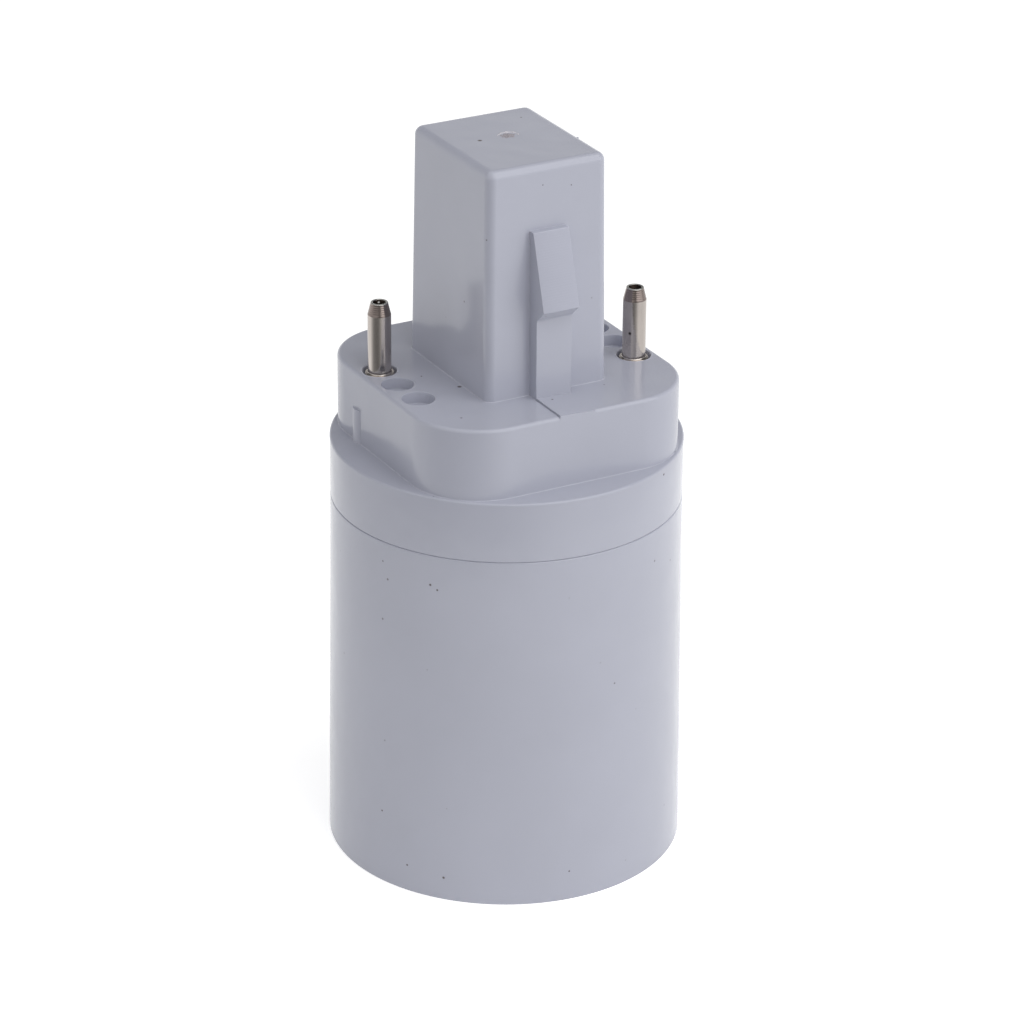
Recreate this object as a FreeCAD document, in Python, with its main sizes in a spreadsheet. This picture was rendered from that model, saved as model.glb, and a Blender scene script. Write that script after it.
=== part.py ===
import FreeCAD, Part
import math
import os
import re

import Sketcher

# A lamp socket adapter: a two-pin plug cap on top, with a square key post and latch ribs, and an
# open socket for a 27 mm screw lamp cap below. It stands on the socket's rim, the origin is the
# centre of that rim, +Z runs up to the top of the post and +X points to the right-hand pin.
# All lengths are millimetres and all angles are degrees.

SIZES = {
    # screw shell: the thread is worked out about its mean radius
    "thread_mean_radius": 12.8,
    "thread_depth": 1.1,
    "sleeve_wall": 0.35,
    "sleeve_length": 19.4,
    "tab_end": 1.8,
    "tab_width": 5.6,
    "tab_count": 3,
    # socket housing
    "lip_play": 0.15,
    "lip_depth": 8.2,
    "lip_thickness": 1.4,
    "rib_play": 0.35,
    "rib_depth": 1.15,
    "rib_width": 1.2,
    "rib_count": 6,
    "housing_wall": 1.8,
    "rim_draft": 0.42,
    # contact carrier between the shell and the cap
    "carrier_play": 0.1,
    "carrier_thickness": 3.0,
    "barrier_width": 1.2,
    "barrier_length": 20.0,
    "barrier_height": 2.6,
    # spigot of the cap, and the snap lugs that hold it in the housing
    "spigot_length": 4.3,
    "spigot_play": 0.1,
    "spigot_clear": 0.315,
    "lug_count": 4,
    "lug_width": 4.0,
    "lug_drop": 1.5,
    "lug_height": 1.5,
    "lug_depth": 0.35,
    "lug_play": 0.1,
    # base cap: ring, platform and key post
    "ring_height": 6.0,
    "ring_plate": 2.0,
    "platform_height": 7.1,
    "platform_corner": 7.0,
    "platform_edge": 0.35,
    "platform_wall": 1.3,
    "platform_plate": 2.2,
    "post_height": 22.6,
    "post_base_x": 6.45,
    "post_base_y": 7.95,
    "post_top_x": 6.25,
    "post_top_y": 7.6,
    "post_edge": 1.0,
    "post_wall": 1.7,
    "post_top_wall": 1.8,
    "gate_x": 0.4,
    "gate_y": 0.9,
    "gate_radius": 1.1,
    "gate_depth": 0.18,
    # latch ribs on the two wide faces of the post: levels below its top, steps out of its side
    "latch_width": 3.6,
    "latch_top_drop": 6.25,
    "latch_top_step": 0.79,
    "latch_knee_drop": 13.5,
    "latch_knee_step": 2.95,
    "latch_notch_drop": 14.65,
    "latch_notch_step": 1.62,
    # contact pins and their seats
    "pin_x": 11.65,
    "pin_y": 3.9,
    "pin_margin": 2.2,
    "pin_radius": 1.125,
    "pin_reach": 7.0,
    "pin_cone": 1.35,
    "pin_tip_radius": 0.83,
    "pin_bore": 0.45,
    "pin_shank": 1.42,
    "pin_collar": 0.45,
    "pin_tail": 0.6,
    "pin_recess": 1.7,
    "pin_recess_depth": 0.6,
    "boss_half": 1.95,
    "boss_drop": 3.0,
    # blind keying holes in the platform and grooves in its sides
    "key_hole_inset": 0.15,
    "key_hole_radius": 1.55,
    "key_hole_depth": 1.2,
    "key_hole_pitch": 3.8,
    "groove_radius": 1.0,
    "groove_bulge": 0.3,
    "groove_height": 3.4,
    "groove_offset": 4.3,
    # spring contact for the lamp's centre
    "tongue_thickness": 0.4,
    "tongue_width": 5.0,
    "tongue_play": 0.45,
    "tongue_foot": 4.0,
    "tongue_foot_end": 2.2,
    "tongue_bend": 1.5,
    "tongue_slope": 26.0,
    "tongue_arm": 3.9,
    "tongue_nose": 1.6,
    "tongue_tip_rise": 40.0,
    "tongue_tip": 0.8,
    "tongue_hole_play": 0.4,
    # rivets and solder tags
    "centre_rivet_x": 7.0,
    "rivet_radius": 1.0,
    "rivet_head_radius": 1.7,
    "rivet_head": 0.5,
    "tag_thickness": 0.4,
    "tag_width": 3.0,
    "tag_height": 4.0,
    "tag_heel": 1.8,
    "tag_play": 0.45,
    # leads and solder
    "lead_radius": 0.25,
    "lead_tail": 0.4,
    "solder_film": 0.08,
    "solder_half": 0.8,
    "solder_height": 2.0,
    "solder_drop": 0.4,
    "plug_drop": 0.3,
    "plug_length": 0.9,
}

# Places that follow from the sizes, each one an expression of the names above.
LIP_TOP = "(lip_depth + lip_thickness)"
CARRIER_FOOT = f"({LIP_TOP} + sleeve_length)"
CARRIER_TOP = f"({CARRIER_FOOT} + carrier_thickness)"
SEAM = f"({CARRIER_TOP} + spigot_length)"
RING_TOP = f"({SEAM} + ring_height)"
PLATFORM_TOP = f"({RING_TOP} + platform_height)"
POST_TOP = f"({PLATFORM_TOP} + post_height)"
LIP_RADIUS = "(thread_mean_radius + thread_depth / 2 + lip_play)"
RIB_RADIUS = "(thread_mean_radius + thread_depth / 2 + sleeve_wall + rib_play)"
BORE = f"({RIB_RADIUS} + rib_depth)"
RING_RADIUS = f"({BORE} + housing_wall)"
RIM_RADIUS = f"({RING_RADIUS} + rim_draft)"
CARRIER_RADIUS = f"({BORE} - carrier_play)"
SPIGOT_OUTER = f"({BORE} - spigot_play)"
LUG_TOP = f"({SEAM} - lug_drop)"
LUG_FOOT = f"({LUG_TOP} - lug_height)"
LUG_REACH = f"({SPIGOT_OUTER} + lug_depth)"
CAVITY_FOOT = f"({RING_TOP} - ring_plate)"
PLATFORM_HALF = "(pin_x + pin_margin)"
PLATE_FOOT = f"({PLATFORM_TOP} - platform_plate)"
CAVITY_HALF = f"({PLATFORM_HALF} - platform_wall)"
CAVITY_CORNER = "(platform_corner - platform_wall)"
BOSS_FOOT = f"({PLATE_FOOT} - boss_drop)"
COLLAR_TOP = f"({PLATFORM_TOP} - pin_recess_depth + pin_collar)"
PIN_TIP = f"({PLATFORM_TOP} + pin_reach)"
PIN_FOOT = f"({BOSS_FOOT} - pin_tail)"
PIN_DISTANCE = "sqrt(pin_x^2 + pin_y^2)"
SPIGOT_INNER = f"({PIN_DISTANCE} + solder_half + spigot_clear)"
KEY_HOLE_X = "(pin_x - key_hole_inset)"
TO_RIGHT_PIN = "-atan(pin_y / pin_x)"
TO_LEFT_PIN = "180 deg - atan(pin_y / pin_x)"
TONGUE_LEVEL = f"({CARRIER_FOOT} - tongue_play - tongue_thickness / 2)"
TONGUE_RIVET_HEAD = f"({TONGUE_LEVEL} - tongue_thickness / 2 - tongue_play)"
TAB_FOOT = f"({CARRIER_FOOT} - sleeve_wall)"
TAG_FOOT_TOP = f"({CARRIER_TOP} + tag_thickness)"
TAG_TOP = f"({CARRIER_TOP} + tag_height)"
TAG_FACE = f"({PIN_DISTANCE} - lead_radius - solder_film)"
SLEEVE_RIVET_X = f"({TAG_FACE} - tag_thickness - tag_play - rivet_head_radius)"
SOLDER_TOP = f"({TAG_TOP} - solder_drop)"
SOLDER_FOOT = f"({SOLDER_TOP} - solder_height)"
LEAD_TOP = f"({PIN_TIP} - plug_drop - plug_length)"

doc = FreeCAD.newDocument("LampSocketAdapter")
sheet = doc.addObject("Spreadsheet::Sheet", "sizes")
for row, (alias, value) in enumerate(SIZES.items(), 1):
    sheet.set(f"A{row}", alias)
    sheet.set(f"B{row}", str(value))
    sheet.setAlias(f"B{row}", alias)
doc.recompute()


def number(expression):
    """The present value of an expression of the sizes."""
    return float(sheet.evalExpression(expression))


def bind(item, place, expression):
    """Ties one property of an item to an expression of the sizes."""
    linked = re.sub(r"[a-z_]+", lambda word: in_sheet(word.group()), expression)
    item.setExpression(place, linked)


def in_sheet(word):
    return f"sizes.{word}" if word in SIZES else word


def new_body(label, turn=None, at=None):
    """A sub-part, turned about Z by one expression and moved in X and Y by two others."""
    body = doc.addObject("PartDesign::Body", label)
    body.Label = label
    if turn:
        bind(body, "Placement.Rotation.Angle", turn)
    if at:
        bind(body, "Placement.Base.x", at[0])
        bind(body, "Placement.Base.y", at[1])
    return body


def origin_part(body, role):
    return next(item for item in body.Origin.OriginFeatures if item.Role == role)


def new_sketch(body, name, plane, level=None):
    """An empty sketch on a plane of the body's own origin, raised along its normal to a level."""
    sketch = body.newObject("Sketcher::SketchObject", name)
    sketch.AttachmentSupport = [(origin_part(body, f"{plane}_Plane"), "")]
    sketch.MapMode = "FlatFace"
    if level:
        bind(sketch, "AttachmentOffset.Base.z", level)
    return sketch


def fix_point(sketch, piece, end, across, up):
    """Holds one end of a sketch piece at an (across, up) place."""
    for kind, axis, expression in (("DistanceX", -2, across), ("DistanceY", -1, up)):
        if expression == "0":
            sketch.addConstraint(Sketcher.Constraint("PointOnObject", piece, end, axis))
            continue
        rule = Sketcher.Constraint(kind, -1, 1, piece, end, number(expression))
        bind(sketch, f"Constraints[{sketch.addConstraint(rule)}]", expression)


def fix_radius(sketch, piece, radius):
    rule = Sketcher.Constraint("Radius", piece, number(radius))
    bind(sketch, f"Constraints[{sketch.addConstraint(rule)}]", radius)


def arc_between(start, end, radius, side):
    """The short arc from start to end with its centre to the left (side 1) or right (side -1)."""
    chord = end - start
    half = chord.Length / 2
    left = FreeCAD.Vector(-chord.y, chord.x, 0).normalize()
    centre = start + chord * 0.5 + left * side * math.sqrt(max(radius * radius - half * half, 0))
    first, last = (start, end) if side > 0 else (end, start)
    angles = [math.atan2(p.y - centre.y, p.x - centre.x) for p in (first, last)]
    return Part.ArcOfCircle(Part.Circle(centre, FreeCAD.Vector(0, 0, 1), radius), *angles)


def draw_outline(sketch, corners, arcs=()):
    """A closed outline through (across, up) corners. arcs maps a side's number to (radius, side)."""
    arcs = dict(arcs)
    points = [FreeCAD.Vector(number(a), number(b), 0) for a, b in corners]
    ends = []
    for index, start in enumerate(points):
        end = points[(index + 1) % len(points)]
        if index in arcs:
            radius, side = arcs[index]
            piece = sketch.addGeometry(arc_between(start, end, number(radius), side))
            ends.append((piece, 1, 2) if side > 0 else (piece, 2, 1))
        else:
            piece = sketch.addGeometry(Part.LineSegment(start, end))
            ends.append((piece, 1, 2))
    for index, (piece, first, last) in enumerate(ends):
        following, its_first, _ = ends[(index + 1) % len(ends)]
        joined = Sketcher.Constraint("Coincident", piece, last, following, its_first)
        sketch.addConstraint(joined)
        fix_point(sketch, piece, first, *corners[index])
    for index, (radius, _) in arcs.items():
        fix_radius(sketch, ends[index][0], radius)


def draw_circle(sketch, across, up, radius):
    centre = FreeCAD.Vector(number(across), number(up), 0)
    circle = Part.Circle(centre, FreeCAD.Vector(0, 0, 1), number(radius))
    piece = sketch.addGeometry(circle)
    fix_point(sketch, piece, 3, across, up)
    fix_radius(sketch, piece, radius)


def draw_rectangle(sketch, left, low, right, high):
    draw_outline(sketch, [(left, low), (right, low), (right, high), (left, high)])


def draw_rounded(sketch, half, corner):
    """A square about the origin with rounded corners."""
    flat = f"({half} - {corner})"
    corners = [
        (f"-{flat}", f"-{half}"),
        (flat, f"-{half}"),
        (half, f"-{flat}"),
        (half, flat),
        (flat, half),
        (f"-{flat}", half),
        (f"-{half}", flat),
        (f"-{half}", f"-{flat}"),
    ]
    draw_outline(sketch, corners, {side: (corner, 1) for side in (1, 3, 5, 7)})


def draw_path(sketch, start, heading, steps):
    """An open run of lines and tangent arcs from a start point.

    heading is the first line's direction. Each step is ("line", length) or ("bend", radius, turn),
    where a positive turn goes to the left.
    """
    place = FreeCAD.Vector(number(start[0]), number(start[1]), 0)
    angle, previous = heading, None
    for step in steps:
        way = FreeCAD.Vector(math.cos(math.radians(angle)), math.sin(math.radians(angle)), 0)
        if step[0] == "line":
            after = place + way * number(step[1])
            piece = sketch.addGeometry(Part.LineSegment(place, after))
            first, last = 1, 2
            rule = Sketcher.Constraint("Distance", piece, number(step[1]))
            bind(sketch, f"Constraints[{sketch.addConstraint(rule)}]", step[1])
        else:
            radius, turn = number(step[1]), number(step[2])
            side = 1 if turn > 0 else -1
            left = FreeCAD.Vector(-way.y, way.x, 0)
            centre = place + left * side * radius
            angle += turn
            ahead = FreeCAD.Vector(-math.sin(math.radians(angle)), math.cos(math.radians(angle)), 0)
            after = centre - ahead * side * radius
            piece = sketch.addGeometry(arc_between(place, after, radius, side))
            first, last = (1, 2) if side > 0 else (2, 1)
            fix_radius(sketch, piece, step[1])
            sweep = Sketcher.Constraint("Angle", piece, math.radians(abs(turn)))
            opening = step[2] if turn > 0 else f"-({step[2]})"
            bind(sketch, f"Constraints[{sketch.addConstraint(sweep)}]", opening)
        if previous is None:
            fix_point(sketch, piece, first, *start)
            upright = "Vertical" if round(heading) % 180 else "Horizontal"
            sketch.addConstraint(Sketcher.Constraint(upright, piece))
        else:
            sketch.addConstraint(Sketcher.Constraint("Tangent", *previous, piece, first))
        previous, place = (piece, last), after


def feature(body, kind, name, sketch, **settings):
    """Adds a feature to a body; settings with a text value are tied to the sizes."""
    made = body.newObject(f"PartDesign::{kind}", name)
    made.Profile = sketch
    for key, value in settings.items():
        if key in ("Length", "Angle") and isinstance(value, str):
            bind(made, key, value)
        else:
            setattr(made, key, value)
    sketch.Visibility = False
    doc.recompute()
    return made


def revolve(body, name, sketch):
    return feature(body, "Revolution", name, sketch, ReferenceAxis=(sketch, ["V_Axis"]), Angle=360)


def pad(body, name, sketch, length, **settings):
    return feature(body, "Pad", name, sketch, Length=length, **settings)


def cut(body, name, sketch, length, **settings):
    """Cuts down from the sketch, or to both its sides, and checks that material was taken away."""
    before = body.Tip.Shape.Volume
    taken = feature(body, "Pocket", name, sketch, Length=length, **settings)
    if not taken.Shape.Volume < before:
        raise RuntimeError(f"{name} cuts nothing from {body.Label}")
    return taken


def polar(body, name, originals, count):
    """Repeats features evenly about the body's Z axis."""
    pattern = body.newObject("PartDesign::PolarPattern", name)
    pattern.Originals = originals
    pattern.Axis = (origin_part(body, "Z_Axis"), [""])
    pattern.Angle = 360
    if isinstance(count, str):
        bind(pattern, "Occurrences", count)
    else:
        pattern.Occurrences = count
    body.Tip = pattern
    doc.recompute()
    return pattern


def dress_edges(body, kind, name, size, wanted):
    """Fillets or chamfers the edges of the body's last feature that pass a test."""
    base = body.Tip
    edges = [f"Edge{n}" for n, edge in enumerate(base.Shape.Edges, 1) if wanted(edge)]
    dressed = body.newObject(f"PartDesign::{kind}", name)
    dressed.Base = (base, edges)
    bind(dressed, "Radius" if kind == "Fillet" else "Size", size)
    doc.recompute()
    return dressed


def at_level(level):
    """A test for edges that lie wholly at one height."""
    height = number(level)
    return lambda edge: abs(edge.BoundBox.ZMin - height) + abs(edge.BoundBox.ZMax - height) < 1e-4


def above_level(level):
    """A test for edges that rise above one height."""
    height = number(level)
    return lambda edge: edge.BoundBox.ZMax > height + 1e-3


def make_housing():
    """The cup: a drafted wall, a lip below the screw shell, ribs and pockets for the snap lugs."""
    body = new_body("socket_housing")
    section = new_sketch(body, "housing_section", "XZ")
    draw_outline(
        section,
        [
            (BORE, "0"),
            (RIM_RADIUS, "0"),
            (RING_RADIUS, SEAM),
            (BORE, SEAM),
            (BORE, LIP_TOP),
            (LIP_RADIUS, LIP_TOP),
            (LIP_RADIUS, "lip_depth"),
            (BORE, "lip_depth"),
        ],
    )
    revolve(body, "housing_wall_turned", section)
    rib = new_sketch(body, "rib_section", "XY", LIP_TOP)
    draw_rectangle(rib, RIB_RADIUS, "-rib_width / 2", f"{BORE} + housing_wall / 2", "rib_width / 2")
    first_rib = pad(body, "rib", rib, "sleeve_length")
    polar(body, "ribs", [first_rib], "rib_count")
    pocket = new_sketch(body, "lug_pocket_outline", "XZ")
    reach, low, high = f"{LUG_REACH} + lug_play", f"{LUG_FOOT} - lug_play", f"{LUG_TOP} + lug_play"
    draw_rectangle(pocket, f"{BORE} - lug_depth", low, reach, high)
    first_pocket = cut(body, "lug_pocket", pocket, "lug_width + 2 * lug_play", Midplane=True)
    polar(body, "lug_pockets", [first_pocket], "lug_count")
    return body


def make_sleeve():
    """The drawn screw shell, with three riveting tabs folded in at its top."""
    body = new_body("thread_sleeve", TO_LEFT_PIN)
    wall = new_sketch(body, "shell_outline", "XY", LIP_TOP)
    draw_circle(wall, "0", "0", "thread_mean_radius + sleeve_wall")
    draw_circle(wall, "0", "0", "thread_mean_radius")
    pad(body, "shell", wall, "sleeve_length")
    tab = new_sketch(body, "tab_outline", "XY", TAB_FOOT)
    root = "thread_mean_radius + sleeve_wall / 2"
    draw_rectangle(tab, f"{SLEEVE_RIVET_X} - tab_end", "-tab_width / 2", root, "tab_width / 2")
    folded = pad(body, "tab", tab, "sleeve_wall")
    hole = new_sketch(body, "tab_hole_outline", "XY", CARRIER_FOOT)
    draw_circle(hole, SLEEVE_RIVET_X, "0", "rivet_radius")
    pierced = cut(body, "tab_hole", hole, "sleeve_wall")
    polar(body, "tabs", [folded, pierced], "tab_count")
    return body


def make_carrier():
    """The insulating disc that the shell, the centre contact and both tags are riveted to."""
    body = new_body("contact_carrier", TO_RIGHT_PIN)
    disc = new_sketch(body, "disc_outline", "XY", CARRIER_FOOT)
    draw_circle(disc, "0", "0", CARRIER_RADIUS)
    pad(body, "disc", disc, "carrier_thickness")
    wall = new_sketch(body, "barrier_outline", "XY", CARRIER_TOP)
    half_width, half_length = "barrier_width / 2", "barrier_length / 2"
    draw_rectangle(wall, f"-{half_width}", f"-{half_length}", half_width, half_length)
    pad(body, "barrier", wall, "barrier_height")
    centre = new_sketch(body, "centre_hole_outline", "XY", CARRIER_TOP)
    draw_circle(centre, "centre_rivet_x", "0", "rivet_radius")
    cut(body, "centre_hole", centre, "carrier_thickness")
    shell_hole = new_sketch(body, "shell_hole_outline", "XY", CARRIER_TOP)
    draw_circle(shell_hole, f"-{SLEEVE_RIVET_X}", "0", "rivet_radius")
    pierced = cut(body, "shell_hole", shell_hole, "carrier_thickness")
    polar(body, "shell_holes", [pierced], "tab_count")
    return body


def add_ring(body):
    """The round part of the cap: the visible ring, and the spigot with its snap lugs."""
    section = new_sketch(body, "ring_section", "XZ")
    draw_outline(
        section,
        [
            (SPIGOT_INNER, CARRIER_TOP),
            (SPIGOT_OUTER, CARRIER_TOP),
            (SPIGOT_OUTER, SEAM),
            (RING_RADIUS, SEAM),
            (RING_RADIUS, RING_TOP),
            ("0", RING_TOP),
            ("0", CAVITY_FOOT),
            (SPIGOT_INNER, CAVITY_FOOT),
        ],
    )
    revolve(body, "ring", section)
    barb = new_sketch(body, "lug_section", "XZ")
    root = f"({SPIGOT_OUTER} + {SPIGOT_INNER}) / 2"
    draw_outline(
        barb, [(root, LUG_FOOT), (SPIGOT_OUTER, LUG_FOOT), (LUG_REACH, LUG_TOP), (root, LUG_TOP)]
    )
    lug = pad(body, "lug", barb, "lug_width", Midplane=True)
    polar(body, "lugs", [lug], "lug_count")


def add_platform(body):
    """The rounded square platform on the ring."""
    outline = new_sketch(body, "platform_outline", "XY", RING_TOP)
    draw_rounded(outline, PLATFORM_HALF, "platform_corner")
    pad(body, "platform", outline, "platform_height")
    dress_edges(body, "Chamfer", "platform_edge_broken", "platform_edge", at_level(PLATFORM_TOP))


def add_post(body):
    """The tapered key post and its two latch ribs."""
    base = new_sketch(body, "post_base", "XY", PLATFORM_TOP)
    draw_rectangle(base, "-post_base_x", "-post_base_y", "post_base_x", "post_base_y")
    top = new_sketch(body, "post_top", "XY", POST_TOP)
    draw_rectangle(top, "-post_top_x", "-post_top_y", "post_top_x", "post_top_y")
    feature(body, "AdditiveLoft", "post", base, Sections=[top], Ruled=True)
    dress_edges(body, "Fillet", "post_edges_rounded", "post_edge", above_level(PLATFORM_TOP))
    profile = new_sketch(body, "latch_profile", "YZ")
    root = "-(post_top_y - post_wall / 2)"
    draw_outline(
        profile,
        [
            (root, PLATFORM_TOP),
            (root, f"{POST_TOP} - latch_top_drop"),
            ("-(post_top_y + latch_top_step)", f"{POST_TOP} - latch_top_drop"),
            ("-(post_top_y + latch_knee_step)", f"{POST_TOP} - latch_knee_drop"),
            ("-(post_top_y + latch_notch_step)", f"{POST_TOP} - latch_notch_drop"),
            ("-(post_top_y + latch_notch_step)", PLATFORM_TOP),
        ],
    )
    latch = pad(body, "latch", profile, "latch_width", Midplane=True)
    polar(body, "latches", [latch], 2)
    gate = new_sketch(body, "gate_outline", "XY", POST_TOP)
    draw_circle(gate, "gate_x", "gate_y", "gate_radius")
    cut(body, "gate_mark", gate, "gate_depth")


def hollow_cap(body):
    """Cores the platform and the post from below, to even walls."""
    cavity = new_sketch(body, "cavity_outline", "XY", PLATE_FOOT)
    draw_rounded(cavity, CAVITY_HALF, CAVITY_CORNER)
    cut(body, "cavity", cavity, f"{PLATE_FOOT} - {CAVITY_FOOT}")
    base = new_sketch(body, "core_base", "XY", PLATE_FOOT)
    half_x, half_y = "(post_base_x - post_wall)", "(post_base_y - post_wall)"
    draw_rectangle(base, f"-{half_x}", f"-{half_y}", half_x, half_y)
    top = new_sketch(body, "core_top", "XY", f"{POST_TOP} - post_top_wall")
    half_x, half_y = "(post_top_x - post_wall)", "(post_top_y - post_wall)"
    draw_rectangle(top, f"-{half_x}", f"-{half_y}", half_x, half_y)
    feature(body, "SubtractiveLoft", "core", base, Sections=[top], Ruled=True)


def add_pin_seats(body):
    """Bosses and stepped holes for the pins, the blind keying holes and the side grooves."""
    boss = new_sketch(body, "boss_outline", "XY", BOSS_FOOT)
    wall = f"-({CAVITY_HALF} + platform_wall / 2)"
    draw_rectangle(boss, wall, "pin_y - boss_half", "-(pin_x - boss_half)", "pin_y + boss_half")
    raised = pad(body, "boss", boss, "boss_drop + platform_plate / 2")
    hole = new_sketch(body, "pin_hole_outline", "XY", PLATFORM_TOP)
    draw_circle(hole, "-pin_x", "pin_y", "pin_shank")
    bored = cut(body, "pin_hole", hole, f"{PLATFORM_TOP} - {PIN_FOOT}")
    recess = new_sketch(body, "pin_recess_outline", "XY", PLATFORM_TOP)
    draw_circle(recess, "-pin_x", "pin_y", "pin_recess")
    sunk = cut(body, "pin_recess_cut", recess, "pin_recess_depth")
    keys = new_sketch(body, "key_hole_outline", "XY", PLATFORM_TOP)
    draw_circle(keys, f"-{KEY_HOLE_X}", "0", "key_hole_radius")
    draw_circle(keys, f"-{KEY_HOLE_X}", "-key_hole_pitch", "key_hole_radius")
    keyed = cut(body, "key_holes", keys, "key_hole_depth")
    side = new_sketch(body, "groove_outline", "XY", f"{RING_TOP} + groove_height")
    draw_circle(side, f"-({PLATFORM_HALF} + groove_bulge)", "groove_offset", "groove_radius")
    grooved = cut(body, "groove", side, "groove_height")
    polar(body, "pin_seats", [raised, bored, sunk, keyed, grooved], 2)


def make_cap():
    """The base cap, moulded in one piece."""
    body = new_body("base_cap")
    add_ring(body)
    add_platform(body)
    add_post(body)
    hollow_cap(body)
    add_pin_seats(body)
    return body


def at_pin(sign):
    """The place of one pin: sign is empty for the right-hand one and a minus for the left."""
    return f"{sign}pin_x", f"{'' if sign else '-'}pin_y"


def make_pin(label, sign):
    """A hollow contact pin: knurled shank, body and coned tip."""
    body = new_body(label, at=at_pin(sign))
    section = new_sketch(body, "pin_section", "XZ")
    draw_outline(
        section,
        [
            ("pin_bore", PIN_FOOT),
            ("pin_shank", PIN_FOOT),
            ("pin_shank", COLLAR_TOP),
            ("pin_radius", COLLAR_TOP),
            ("pin_radius", f"{PIN_TIP} - pin_cone"),
            ("pin_tip_radius", PIN_TIP),
            ("pin_bore", PIN_TIP),
        ],
    )
    revolve(body, "pin", section)
    return body


def make_pin_solder(label, sign):
    """The solder plug that closes a pin's bore at the tip, on the end of the lead."""
    body = new_body(label, at=at_pin(sign))
    bead = new_sketch(body, "plug_outline", "XY", LEAD_TOP)
    draw_circle(bead, "0", "0", "pin_bore")
    pad(body, "plug", bead, "plug_length")
    return body


def make_tongue():
    """The folded spring strip that the lamp's centre contact presses on."""
    body = new_body("centre_contact", TO_RIGHT_PIN)
    foot_end = "(centre_rivet_x + tongue_foot_end)"
    strip = new_sketch(body, "strip_section", "YZ", foot_end)
    low, high = f"{TONGUE_LEVEL} - tongue_thickness / 2", f"{TONGUE_LEVEL} + tongue_thickness / 2"
    draw_rectangle(strip, "-tongue_width / 2", low, "tongue_width / 2", high)
    path = new_sketch(body, "strip_path", "XZ")
    steps = [
        ("line", "tongue_foot"),
        ("bend", "tongue_bend", "tongue_slope"),
        ("line", "tongue_arm"),
        ("bend", "tongue_nose", "-(tongue_slope + tongue_tip_rise)"),
        ("line", "tongue_tip"),
    ]
    draw_path(path, (foot_end, TONGUE_LEVEL), 180, steps)
    doc.recompute()
    feature(body, "AdditivePipe", "strip", strip, Spine=path)
    hole = new_sketch(body, "strip_hole_outline", "XY", high)
    draw_circle(hole, "centre_rivet_x", "0", "rivet_radius + tongue_hole_play")
    cut(body, "strip_hole", hole, "tongue_thickness")
    return body


def make_rivet(label, turn, distance, low, high):
    """A rivet, set at a distance from the centre, that clamps all from low to high."""
    body = new_body(label, turn)
    section = new_sketch(body, "rivet_section", "XZ")
    bind(section, "AttachmentOffset.Base.x", distance)
    draw_outline(
        section,
        [
            ("0", f"{low} - rivet_head"),
            ("rivet_head_radius", f"{low} - rivet_head"),
            ("rivet_head_radius", low),
            ("rivet_radius", low),
            ("rivet_radius", high),
            ("rivet_head_radius", high),
            ("rivet_head_radius", f"{high} + rivet_head"),
            ("0", f"{high} + rivet_head"),
        ],
    )
    revolve(body, "rivet", section)
    return body


def make_tag(label, turn, rivet_at):
    """A solder tag: a foot under its rivet's head, and an upright that the lead is soldered to."""
    body = new_body(label, turn)
    profile = new_sketch(body, "tag_profile", "XZ")
    draw_outline(
        profile,
        [
            (f"{rivet_at} - tag_heel", CARRIER_TOP),
            (TAG_FACE, CARRIER_TOP),
            (TAG_FACE, TAG_TOP),
            (f"{TAG_FACE} - tag_thickness", TAG_TOP),
            (f"{TAG_FACE} - tag_thickness", TAG_FOOT_TOP),
            (f"{rivet_at} - tag_heel", TAG_FOOT_TOP),
        ],
    )
    pad(body, "tag", profile, "tag_width", Midplane=True)
    hole = new_sketch(body, "tag_hole_outline", "XY", TAG_FOOT_TOP)
    draw_circle(hole, rivet_at, "0", "rivet_radius")
    cut(body, "tag_hole", hole, "tag_thickness")
    return body


def make_lead(label, turn):
    """A bare lead, straight up from its tag into the pin."""
    body = new_body(label, turn)
    foot = f"({SOLDER_FOOT} - lead_tail)"
    wire = new_sketch(body, "lead_outline", "XY", foot)
    draw_circle(wire, PIN_DISTANCE, "0", "lead_radius")
    pad(body, "lead", wire, f"{LEAD_TOP} - {foot}")
    return body


def make_tag_solder(label, turn):
    """The solder that wraps a lead and holds it to its tag."""
    body = new_body(label, turn)
    bead = new_sketch(body, "bead_outline", "XY", SOLDER_FOOT)
    nose = f"{PIN_DISTANCE} + solder_half"
    draw_outline(
        bead,
        [
            (TAG_FACE, "-solder_half"),
            (PIN_DISTANCE, "-solder_half"),
            (nose, "-solder_half / 2"),
            (nose, "solder_half / 2"),
            (PIN_DISTANCE, "solder_half"),
            (TAG_FACE, "solder_half"),
        ],
    )
    draw_circle(bead, PIN_DISTANCE, "0", "lead_radius")
    pad(body, "bead", bead, "solder_height")
    return body


parts = [make_housing(), make_sleeve(), make_carrier(), make_cap(), make_tongue()]
parts.append(
    make_rivet("centre_rivet", TO_RIGHT_PIN, "centre_rivet_x", TONGUE_RIVET_HEAD, TAG_FOOT_TOP)
)
SLEEVE_RIVETS = (
    ("tag", TO_LEFT_PIN, TAG_FOOT_TOP),
    ("back", f"{TO_LEFT_PIN} - 360 deg / tab_count", CARRIER_TOP),
    ("front", f"{TO_LEFT_PIN} + 360 deg / tab_count", CARRIER_TOP),
)
for place, rivet_turn, clamped_top in SLEEVE_RIVETS:
    label = f"sleeve_rivet_{place}"
    parts.append(make_rivet(label, rivet_turn, SLEEVE_RIVET_X, TAB_FOOT, clamped_top))
CIRCUITS = (
    ("right", "", "centre", TO_RIGHT_PIN, "centre_rivet_x"),
    ("left", "-", "sleeve", TO_LEFT_PIN, SLEEVE_RIVET_X),
)
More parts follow.
